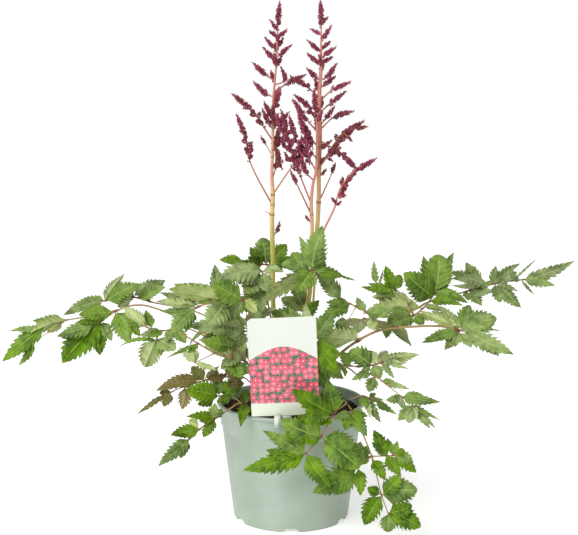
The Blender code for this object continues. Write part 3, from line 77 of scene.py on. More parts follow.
# Leaves that show from the front, each from its foot on the crown or on a larger leaf stalk.
# A stalk is its radius and its route. A blade is its base, its tip, its width, the way its upper
# side looks and how far its middle arches off the straight line. One that doesn't say otherwise
# looks to the front and lies straight. A raceme is the radius of its buds, the share of its length
# that is bare, and its route.
LEAVES = {
    "leaf_far_left": Leaf([
        Stalk(1.5, [
            (-19, -1, 131.4), (-55, -6, 178), (-105, -12, 222), (-166, -14, 251), (-183, -14, 251),
            (-201, -15, 245), (-231, -10, 238), (-259, -8, 233),
        ]),
        Stalk(0.9, [(-201, -15, 245), (-217, -20, 234)]),
    ], [
        Blade((-259, -8, 233), (-299, -18, 221), 20, UNDERSIDE),
        Blade((-283, -14, 226), (-330, -29, 190), 23, FRONT_UP, 2),
        Blade((-288, -14, 225), (-321, -20, 224), 9, FRONT_UP),
        Blade((-294, -22, 210), (-310, -30, 185), 11, FRONT_UP),
        Blade((-264, -7, 235), (-299, -4, 232), 12, FRONT_UP),
        Blade((-264, -8, 232), (-279, -14, 219), 11, UNDERSIDE),
        Blade((-217, -20, 234), (-258, -45, 192), 38, FRONT_UP, -3),
        Blade((-225, -23, 229), (-265, -35, 220), 20, FRONT_UP),
        Blade((-217, -20, 233), (-216, -40, 199), 20, FRONT_UP),
        Blade((-215, -20, 233), (-203, -34, 215), 14, FRONT_UP),
        Blade((-201, -15, 243), (-182, -38, 213), 22, FRONT_UP),
        Blade((-199, -15, 243), (-171, -30, 219), 18, FRONT_UP),
        Blade((-204, -15, 244), (-239, -34, 245), 21, FRONT_UP),
        Blade((-209, -16, 239), (-244, -28, 235), 13, FRONT_UP),
    ]),
    "leaf_left_upper": Leaf([
        Stalk(1.3, [
            (-18, 5, 131.4), (-50, 22, 180), (-100, 38, 228), (-171, 44, 246), (-187, 42, 251),
            (-221, 34, 248),
        ]),
    ], [
        Blade((-221, 34, 248), (-199, 46, 279), 14, UNDERSIDE, 3),
        Blade((-219, 34, 248), (-177, 28, 270), 25, FRONT_UP, 2),
        Blade((-212, 32, 247), (-186, 26, 259), 14, FRONT_UP),
        Blade((-222, 34, 248), (-266, 12, 235), 18, FRONT_UP, 3),
        Blade((-222, 34, 249), (-253, 46, 248), 13, FRONT_UP),
        Blade((-187, 42, 253), (-151, 56, 270), 24, FRONT_UP),
        Blade((-183, 43, 250), (-150, 34, 266), 19, FRONT_UP),
        Blade((-188, 40, 249), (-205, 24, 244), 15, UNDERSIDE),
        Blade((-168, 44, 246), (-183, 52, 259), 14, FRONT_UP),
        Blade((-187, 42, 251), (-203, 52, 258), 12, FRONT_UP),
    ]),
    "leaf_left_inner": Leaf([
        Stalk(1.2, [
            (-18.4, -5, 131.4), (-60, -20, 183), (-114, -32, 227), (-131, -32, 228),
            (-147, -30, 225), (-172, -26, 231),
        ]),
        Stalk(0.8, [(-147, -30, 225), (-153, -34, 215)]),
    ], [
        Blade((-153, -34, 215), (-165, -48, 187), 25, UNDERSIDE),
        Blade((-152, -34, 216), (-130, -50, 208), 20, FRONT_UP),
        Blade((-152, -34, 214), (-146, -46, 200), 12, FRONT_UP),
        Blade((-153, -34, 215), (-194, -36, 209), 6, FRONT_UP, 4),
        Blade((-164, -27, 229), (-189, -20, 251), 22, UNDERSIDE),
        Blade((-158, -28, 228), (-166, -18, 247), 12, FRONT_UP),
        Blade((-149, -30, 226), (-170, -44, 224), 12, UNDERSIDE),
        Blade((-145, -31, 225), (-161, -44, 221), 10, FRONT_UP),
        Blade((-132, -32, 228), (-118, -48, 215), 14, FRONT_UP),
        Blade((-136, -32, 227), (-140, -46, 217), 11, FRONT_UP),
    ]),
    "leaf_left_middle": Leaf([
        Stalk(1.4, [
            (-15.5, -11, 131.4), (-34, -34, 178), (-46, -62, 228), (-52, -84, 270),
            (-70, -90, 270), (-90, -94, 268), (-103, -96, 263),
        ]),
    ], [
        Blade((-70, -90, 271), (-129, -118, 288), 27, UNDERSIDE, 4),
        Blade((-85, -92, 270), (-128, -74, 288), 20, FRONT_UP),
        Blade((-64, -88, 271), (-111, -66, 288), 16, FRONT_UP),
        Blade((-54, -85, 271), (-84, -100, 290), 27, FRONT, 2),
        Blade((-71, -90, 269), (-89, -112, 249), 25),
        Blade((-103, -96, 262), (-128, -116, 240), 21, FRONT_UP),
        Blade((-105, -95, 260), (-112, -112, 241), 14, FRONT_UP),
        Blade((-102, -96, 264), (-144, -100, 272), 13, UNDERSIDE, 2),
        Blade((-100, -95, 266), (-142, -86, 279), 14, FRONT_UP),
        Blade((-109, -95, 261), (-142, -84, 258), 11, FRONT_UP),
        Blade((-78, -91, 270), (-83, -74, 308), 16),
        Blade((-52, -84, 268), (-85, -98, 253), 20),
        Blade((-52, -84, 267), (-68, -96, 248), 15),
        Blade((-51, -84, 270), (-36, -92, 259), 15, UNDERSIDE),
    ]),
    "leaf_left_grey": Leaf([
        Stalk(1.2, [(-7.5, -11.5, 131.4), (-20, -32, 152), (-34, -52, 184), (-48, -74, 235)]),
    ], [
        Blade((-49, -75, 237), (-111, -100, 244), 22, FRONT, 3),
        Blade((-49, -75, 234), (-100, -92, 227), 18),
        Blade((-48, -74, 230), (-73, -84, 220), 14),
        Blade((-49, -76, 241), (-84, -84, 252), 15),
        Blade((-49, -66, 237), (-32, -52, 261), 17, FRONT_UP, 2),
        Blade((-48, -62, 239), (-17, -50, 255), 15, UNDERSIDE, 2),
        Blade((-50, -72, 229), (-75, -84, 212), 17),
        Blade((-56, -72, 231), (-93, -92, 249), 18, FRONT_UP, 2),
    ]),
    "leaf_left_diagonal": Leaf([
        Stalk(1.3, [
            (-12.7, -14, 131.4), (-24, -40, 143), (-48, -66, 195), (-64, -90, 208),
            (-81, -110, 217), (-98, -126, 231), (-117, -138, 246),
        ]),
        Stalk(0.7, [(-81, -110, 217), (-102, -120, 209)]),
    ], [
        Blade((-64, -90, 209), (-99, -94, 230), 18, UNDERSIDE, 2),
        Blade((-49, -68, 198), (-78, -60, 225), 17, UNDERSIDE, 2),
        Blade((-46, -64, 201), (-59, -60, 221), 14, UNDERSIDE),
        Blade((-74, -100, 213), (-93, -90, 221), 9, UNDERSIDE),
        Blade((-102, -120, 209), (-119, -118, 225), 11, UNDERSIDE),
        Blade((-101, -120, 209), (-107, -108, 223), 11, UNDERSIDE),
        Blade((-101, -120, 208), (-77, -130, 204), 9, UNDERSIDE),
        Blade((-99, -126, 230), (-129, -148, 221), 5, FRONT_UP, 2),
        Blade((-98, -126, 231), (-108, -136, 224), 7, FRONT_UP),
        Blade((-62, -82, 202), (-54, -94, 186), 17),
        Blade((-63, -82, 202), (-76, -92, 196), 11),
        Blade((-56, -76, 199), (-47, -84, 188), 12),
        Blade((-58, -80, 223), (-84, -96, 240), 19, FRONT, 2),
        Blade((-64, -88, 220), (-94, -104, 229), 18, FRONT, 2),
        Blade((-56, -80, 212), (-76, -92, 199), 16, FRONT, 2),
        Blade((-50, -74, 210), (-64, -82, 228), 15, UNDERSIDE, 2),
    ]),
    "leaf_left_bronze": Leaf([
        Stalk(1, [
            (-17, -8, 131.4), (-31, -22, 143), (-54, -46, 175), (-68, -56, 178), (-94, -68, 177),
            (-117, -76, 172), (-139, -84, 164),
        ]),
    ], [
        Blade((-102, -71, 178), (-148, -84, 170), 17, FRONT_UP, 3),
        Blade((-96, -69, 177), (-111, -60, 191), 15),
        Blade((-93, -67, 178), (-71, -60, 181), 11),
        Blade((-95, -68, 179), (-80, -62, 192), 8, UNDERSIDE),
        Blade((-88, -64, 178), (-82, -54, 186), 9),
        Blade((-139, -84, 164), (-167, -100, 147), 7, FRONT_UP, 2),
        Blade((-133, -82, 167), (-139, -92, 154), 12, FRONT_UP),
        Blade((-132, -81, 167), (-145, -78, 165), 9),
        Blade((-117, -76, 171), (-119, -92, 150), 15, UNDERSIDE),
        Blade((-119, -76, 171), (-105, -70, 176), 8, UNDERSIDE),
        Blade((-52, -66, 179), (-73, -78, 193), 15),
        Blade((-52, -66, 172), (-70, -78, 174), 14),
        Blade((-50, -64, 183), (-61, -74, 200), 12),
    ]),
    "leaf_left_low": Leaf([
        Stalk(1.3, [
            (-9.5, -16.5, 131.4), (-20, -40, 137), (-47, -60, 144), (-57, -69, 151),
            (-69, -82, 147), (-81, -94, 142), (-99, -110, 133), (-109, -120, 125),
        ]),
        Stalk(0.8, [(-55, -66, 151), (-66, -66, 158), (-81, -72, 160)]),
    ], [
        Blade((-81, -72, 160), (-114, -88, 171), 25, FRONT, 2),
        Blade((-85, -74, 157), (-102, -86, 154), 12),
        Blade((-80, -71, 161), (-80, -62, 177), 16),
        Blade((-73, -69, 160), (-61, -62, 176), 20, FRONT, 2),
        Blade((-70, -67, 159), (-75, -58, 174), 14),
        Blade((-67, -67, 158), (-82, -78, 155), 10),
        Blade((-50, -62, 148), (-51, -54, 163), 12),
        Blade((-48, -61, 147), (-55, -93, 132), 13, FRONT, 3),
        Blade((-84, -96, 142), (-112, -112, 148), 12, FRONT, 4),
        Blade((-86, -98, 141), (-82, -104, 160), 12),
        Blade((-87, -98, 141), (-99, -108, 142), 8),
        Blade((-82, -94, 141), (-75, -88, 150), 9),
        Blade((-99, -110, 133), (-128, -130, 133), 17, FRONT_UP),
        Blade((-100, -110, 134), (-110, -104, 142), 13, UNDERSIDE),
        Blade((-83, -95, 139), (-94, -118, 127), 13, FRONT_UP),
        Blade((-109, -120, 125), (-140, -146, 105), 16, FRONT_UP),
        Blade((-110, -120, 123), (-117, -138, 110), 13, FRONT_UP),
    ]),
    "leaf_top_back": Leaf([
        Stalk(1.3, [(-7, 12, 131.4), (-12, 22, 180), (-18, 28, 235), (-27, 28, 292)]),
        Stalk(0.8, [(-27, 28, 292), (-43, 22, 295), (-56, 18, 296)]),
    ], [
        Blade((-29, 27, 293), (-34, 30, 324), 26),
        Blade((-33, 26, 293), (-48, 24, 314), 14),
        Blade((-26, 28, 292), (-5, 32, 316), 22),
        Blade((-23, 28, 291), (2, 26, 302), 15),
        Blade((-36, 25, 294), (-49, 8, 304), 13),
        Blade((-34, 26, 292), (-59, 6, 300), 12),
        Blade((-56, 18, 296), (-82, 8, 302), 15, FRONT_UP, 2),
        Blade((-48, 20, 295), (-68, 4, 297), 10, FRONT_UP),
    ]),
    "leaf_left_top": Leaf([
        Stalk(1.4, [(-8.5, -3, 131.4), (-14, -20, 185), (-22, -34, 235), (-32, -44, 295)]),
    ], [
        Blade((-33, -44, 296), (-84, -70, 286), 27, FRONT_UP, 5),
        Blade((-35, -45, 294), (-50, -64, 274), 24),
        Blade((-33, -44, 297), (-59, -52, 305), 13, FRONT_UP),
        Blade((-31, -44, 296), (-9, -58, 298), 13, FRONT_UP, 2),
        Blade((-32, -46, 291), (-58, -66, 285), 16, FRONT_UP),
        Blade((-31, -45, 294), (-25, -64, 275), 16),
        Blade((-36, -41, 278), (-32, -66, 253), 17),
        Blade((-55, -22, 269), (-26, -36, 258), 17, FRONT_UP, 2),
        Blade((-51, -20, 277), (-21, -30, 273), 17, UNDERSIDE, 2),
        Blade((-60, -26, 264), (-39, -40, 246), 16, FRONT, 2),
    ]),
    "leaf_top_middle": Leaf([
        Stalk(1.4, [(-2, -9, 131.4), (6, -26, 180), (14, -38, 230), (23, -52, 298)]),
    ], [
        Blade((23, -52, 299), (34, -62, 348), 25, FRONT, 2),
        Blade((22, -53, 300), (9, -50, 336), 12),
        Blade((23, -53, 298), (5, -76, 277), 23, FRONT, 2),
        Blade((21, -52, 298), (-11, -42, 305), 22, FRONT_UP, 4),
        Blade((20, -52, 300), (0, -44, 316), 18),
        Blade((19, -51, 296), (-38, -84, 266), 22, UNDERSIDE, 4),
        Blade((17, -53, 294), (-14, -66, 286), 14, UNDERSIDE),
        Blade((25, -51, 298), (36, -36, 318), 16),
        Blade((24, -51, 297), (39, -46, 304), 13),
        Blade((28, -50, 297), (60, -42, 289), 14),
        Blade((55, -43, 290), (74, -40, 284), 3),
        Blade((14, -22, 245), (-11, -34, 265), 19, UNDERSIDE, 2),
        Blade((15, -20, 252), (-2, -30, 280), 17, FRONT_UP, 2),
        Blade((16, -24, 243), (31, -36, 261), 14, FRONT, 2),
        Blade((10, -28, 242), (-22, -44, 249), 18, FRONT, 2),
    ]),
    "leaf_right": Leaf([
        Stalk(2.1, [
            (17.5, -6, 131.4), (32, -14, 160), (48, -22, 188), (72, -34, 212), (96, -39, 226),
            (106, -41, 229), (137, -46, 233), (168, -50, 234), (187, -53, 230),
        ]),
    ], [
        Blade((186, -53, 228), (143, -76, 221), 15, FRONT_UP, 2),
        Blade((184, -54, 227), (147, -62, 223), 11, FRONT_UP),
        Blade((186, -53, 227), (168, -78, 214), 13, FRONT_UP),
        Blade((187, -53, 227), (179, -78, 217), 10, FRONT_UP),
        Blade((188, -54, 227), (197, -78, 217), 14, FRONT_UP),
        Blade((189, -53, 232), (227, -62, 246), 30, FRONT, 2),
        Blade((190, -53, 233), (199, -48, 258), 18),
        Blade((191, -54, 231), (223, -66, 242), 13),
        Blade((195, -55, 230), (241, -92, 212), 20, FRONT, 2),
        Blade((199, -58, 227), (226, -88, 209), 16),
        Blade((194, -56, 228), (206, -72, 221), 9, FRONT_UP),
        Blade((191, -52, 233), (159, -34, 249), 17, UNDERSIDE, 2),
        Blade((186, -50, 234), (146, -30, 250), 14, UNDERSIDE),
        Blade((184, -48, 236), (167, -38, 255), 12, FRONT_UP),
        Blade((199, -56, 231), (234, -62, 231), 4, FRONT, 2),
        Blade((74, -37, 216), (28, -62, 226), 31, UNDERSIDE, 2),
        Blade((76, -37, 217), (49, -46, 238), 16, UNDERSIDE),
    ]),
    "leaf_right_upper": Leaf([
        Stalk(1.2, [
            (108, -36, 232), (124, -28, 236), (140, -20, 241), (155, -11, 251), (166, -2, 264),
        ]),
        Stalk(0.8, [(140, -20, 241), (125, -6, 265), (98, 0, 275)]),
    ], [
        Blade((166, -2, 265), (170, 2, 308), 34, FRONT, 2),
        Blade((164, -4, 259), (129, -24, 290), 32, FRONT, 2),
        Blade((161, -5, 258), (154, 16, 305), 20),
        Blade((169, 0, 266), (189, 14, 309), 17),
        Blade((169, 0, 266), (184, 8, 291), 16),
        Blade((167, -2, 264), (202, -18, 256), 15, FRONT_UP, 2),
        Blade((165, -3, 261), (185, -8, 268), 14, FRONT_UP),
        Blade((160, -7, 255), (195, -26, 254), 14, FRONT_UP, 2),
        Blade((152, -12, 250), (181, -28, 247), 9, UNDERSIDE),
        Blade((150, -13, 248), (81, -16, 244), 24, UNDERSIDE, 10),
        Blade((139, -12, 254), (93, -8, 261), 20, UNDERSIDE, 6),
        Blade((136, -16, 245), (109, -40, 237), 24),
        Blade((139, -21, 240), (109, -50, 237), 17, FRONT, 2),
        Blade((139, -20, 242), (169, -30, 237), 9, UNDERSIDE, 2),
        Blade((140, -22, 239), (150, -34, 234), 13, FRONT_UP),
        Blade((123, -5, 266), (80, -8, 272), 13, FRONT_UP),
        Blade((121, -5, 268), (89, 0, 275), 12, FRONT_UP),
        Blade((98, 0, 275), (96, 4, 301), 8),
        Blade((101, -1, 274), (106, 2, 291), 3),
        Blade((117, -4, 268), (109, 0, 295), 14),
        Blade((120, -5, 268), (125, -8, 286), 14),
    ]),
    "leaf_far_right": Leaf([
        Stalk(1.2, [
            (148, -3, 247), (156, 6, 250), (170, 18, 252), (204, 26, 260), (244, 31, 270),
            (276, 33, 274),
        ]),
    ], [
        Blade((276, 33, 274), (335, 32, 297), 15, FRONT, -4),
        Blade((276, 33, 273), (310, 22, 269), 13),
        Blade((261, 32, 272), (293, 45, 298), 3, FRONT, 3),
        Blade((237, 30, 269), (274, 45, 292), 10, FRONT, 6),
        Blade((237, 30, 270), (243, 40, 289), 11, FRONT_UP),
        Blade((244, 31, 270), (265, 24, 284), 14),
        Blade((242, 31, 271), (244, 40, 284), 12),
        Blade((244, 31, 269), (269, 12, 245), 18, FRONT_UP),
        Blade((241, 31, 268), (245, 16, 250), 16, FRONT_UP),
        Blade((247, 31, 269), (265, 14, 263), 6),
        Blade((211, 27, 261), (222, 8, 248), 15, FRONT_UP),
        Blade((212, 27, 262), (234, 12, 264), 15, FRONT_UP),
        Blade((206, 27, 260), (207, 14, 253), 9, FRONT_UP),
        Blade((269, 32, 272), (258, 24, 280), 7),
        Blade((273, 33, 272), (286, 20, 258), 4),
        Blade((233, 30, 267), (187, 12, 279), 17, FRONT_UP, 3),
        Blade((228, 30, 268), (186, 20, 286), 17, FRONT_UP),
        Blade((223, 29, 268), (206, 30, 295), 16),
        Blade((218, 28, 269), (217, 34, 290), 9),
        Blade((222, 28, 265), (236, 16, 275), 9, FRONT_UP),
        Blade((230, 30, 267), (187, 10, 271), 9, UNDERSIDE),
    ]),
    "leaf_top_right": Leaf([
        Stalk(1, [(103, -41, 233), (94, -40, 240), (83, -38, 249), (69, -36, 256), (55, -34, 263)]),
        Stalk(0.6, [(73, -37, 252), (63, -46, 239)]),
    ], [
        Blade((56, -34, 262), (26, -26, 294), 20, FRONT_UP, 3),
        Blade((53, -34, 265), (43, -31, 280), 14, FRONT_UP),
        Blade((66, -36, 256), (34, -52, 244), 19, FRONT_UP, 2),
        Blade((66, -36, 257), (39, -41, 260), 13, FRONT_UP),
        Blade((84, -38, 249), (74, -30, 264), 10),
        Blade((86, -39, 246), (108, -58, 247), 17, FRONT_UP, 2),
        Blade((90, -39, 244), (94, -56, 231), 15, UNDERSIDE),
        Blade((63, -46, 239), (50, -56, 240), 9),
    ]),
    "leaf_right_middle": Leaf([
        Stalk(1.3, [(13.5, -12.5, 131.4), (22, -34, 160), (24, -58, 190), (23, -72, 221)]),
    ], [
        Blade((25, -73, 220), (50, -84, 189), 22, FRONT, 2),
        Blade((24, -72, 223), (45, -62, 251), 24),
        Blade((25, -73, 221), (55, -80, 207), 17),
        Blade((22, -72, 223), (-3, -62, 259), 18),
        Blade((22, -72, 222), (-12, -58, 257), 14),
        Blade((23, -72, 224), (16, -58, 262), 14, UNDERSIDE),
        Blade((24, -67, 209), (59, -54, 175), 22),
        Blade((24, -64, 199), (47, -50, 159), 18),
    ]),
    "leaf_right_lower": Leaf([
        Stalk(1.2, [
            (18.5, -10, 131.4), (34, -26, 150), (55, -44, 187), (77, -54, 189), (96, -62, 194),
            (102, -65, 197),
        ]),
    ], [
        Blade((102, -65, 198), (141, -82, 211), 16, UNDERSIDE, 2),
        Blade((103, -65, 198), (125, -74, 211), 12, UNDERSIDE),
        Blade((104, -65, 198), (127, -80, 200), 9, UNDERSIDE),
        Blade((96, -62, 194), (108, -52, 206), 15, UNDERSIDE),
        Blade((94, -62, 194), (91, -50, 205), 13, UNDERSIDE),
        Blade((101, -65, 196), (113, -82, 183), 8),
        Blade((104, -66, 198), (129, -84, 194), 5),
        Blade((89, -60, 192), (65, -50, 207), 22),
        Blade((77, -55, 190), (84, -44, 207), 18),
        Blade((75, -54, 190), (92, -42, 205), 15),
        Blade((66, -50, 189), (57, -44, 203), 14),
        Blade((91, -60, 192), (98, -72, 180), 14),
        Blade((88, -58, 191), (80, -66, 188), 9),
    ]),
    "leaf_right_low": Leaf([
        Stalk(0.9, [
            (79, -56, 186), (95, -72, 181), (101, -80, 178), (120, -98, 166), (131, -108, 159),
        ]),
    ], [
        Blade((104, -82, 176), (129, -98, 174), 7, FRONT, 2),
        Blade((100, -79, 179), (115, -90, 179), 6),
        Blade((120, -98, 166), (102, -108, 165), 10),
        Blade((120, -98, 166), (117, -108, 158), 13, UNDERSIDE),
        Blade((121, -98, 166), (158, -122, 167), 13, FRONT, 3),
        Blade((122, -98, 166), (141, -108, 171), 9),
        Blade((130, -108, 159), (114, -124, 147), 13),
        Blade((131, -108, 158), (125, -124, 145), 15),
        Blade((131, -108, 158), (135, -122, 148), 10, UNDERSIDE),
        Blade((132, -108, 159), (156, -134, 151), 6, FRONT, 2),
        Blade((132, -108, 158), (148, -128, 139), 9),
        Blade((136, -112, 153), (153, -130, 140), 6),
        Blade((92, -69, 181), (85, -82, 168), 14),
        Blade((88, -68, 183), (73, -72, 185), 9),
        Blade((83, -62, 185), (67, -70, 178), 8),
    ]),
    "leaf_front_left": Leaf([
        Stalk(1.4, [
            (7, -17.6, 131.4), (24, -34, 138), (62, -52, 148), (48, -73, 141), (33, -95, 121),
            (16, -104, 104),
        ]),
    ], [
        Blade((46, -76, 142), (2, -106, 176), 25, FRONT, 3),
        Blade((43, -77, 143), (14, -104, 148), 16),
        Blade((49, -72, 142), (40, -80, 180), 21, FRONT, 2),
        Blade((44, -80, 137), (32, -90, 133), 13, FRONT_UP),
        Blade((33, -96, 121), (-11, -108, 143), 27, FRONT, 3),
        Blade((32, -96, 124), (7, -104, 147), 20),
        Blade((32, -96, 120), (10, -110, 121), 14),
        Blade((16, -104, 104), (-30, -114, 133), 18, FRONT, 2),
        Blade((14, -104, 106), (-6, -110, 130), 16),
        Blade((14, -104, 104), (-8, -114, 109), 11),
        Blade((15, -105, 103), (-52, -118, 90), 22, FRONT, 3),
        Blade((11, -106, 102), (-27, -116, 112), 16),
        Blade((17, -104, 103), (42, -126, 74), 21, FRONT, 2),
        Blade((35, -96, 120), (73, -122, 94), 34, FRONT, 2),
        Blade((37, -96, 120), (68, -114, 117), 20),
    ]),
    "leaf_front_right": Leaf([
        Stalk(1, [
            (64, -54, 145), (68, -61, 140), (73, -72, 131), (80, -84, 118), (88, -98, 99),
            (94, -106, 76), (98, -112, 60), (105, -120, 42),
        ]),
        Stalk(0.8, [(88, -98, 99), (71, -104, 87)]),
        Stalk(0.8, [(88, -98, 99), (112, -104, 102)]),
    ], [
        Blade((67, -62, 140), (85, -76, 138), 11),
        Blade((68, -64, 138), (83, -92, 120), 17, FRONT, 2),
        Blade((67, -64, 137), (59, -88, 126), 14),
        Blade((68, -64, 138), (78, -84, 130), 18),
        Blade((67, -65, 138), (47, -86, 137), 10),
        Blade((72, -104, 88), (76, -94, 115), 18),
        Blade((73, -104, 90), (83, -94, 110), 14),
        Blade((71, -104, 87), (23, -108, 61), 28, FRONT, 2),
        Blade((69, -105, 86), (48, -112, 60), 20),
        Blade((73, -104, 87), (75, -114, 60), 13, FRONT, 2),
        Blade((105, -102, 101), (90, -98, 129), 16),
        Blade((103, -102, 101), (88, -100, 116), 10),
        Blade((111, -103, 102), (105, -94, 119), 7),
        Blade((112, -104, 102), (135, -116, 87), 15),
        Blade((113, -104, 103), (131, -112, 98), 14),
        Blade((112, -104, 103), (115, -106, 119), 7),
        Blade((114, -104, 104), (122, -108, 110), 8),
        Blade((103, -102, 101), (118, -118, 84), 14),
        Blade((89, -99, 95), (101, -120, 80), 14, FRONT, 2),
        Blade((99, -112, 60), (136, -120, 69), 29, FRONT, 2),
        Blade((100, -112, 61), (117, -122, 86), 18),
        Blade((98, -112, 59), (79, -124, 31), 21),
        Blade((96, -112, 61), (83, -114, 69), 12),
        Blade((105, -120, 42), (139, -132, 32), 23),
        Blade((106, -120, 43), (129, -130, 55), 18),
        Blade((105, -120, 42), (104, -127, 24), 18),
    ]),
    "leaf_front_side": Leaf([
        Stalk(0.8, [(65, -53, 151), (80, -60, 157), (94, -68, 153)]),
    ], [
        Blade((79, -60, 157), (85, -74, 148), 10),
        Blade((84, -62, 156), (99, -80, 132), 11, FRONT, 2),
        Blade((82, -62, 155), (88, -84, 137), 9, UNDERSIDE),
        Blade((94, -68, 153), (117, -80, 141), 8),
        Blade((96, -70, 151), (107, -82, 146), 8),
        Blade((89, -65, 155), (103, -70, 155), 5),
        Blade((87, -64, 156), (95, -60, 160), 6),
    ]),
}

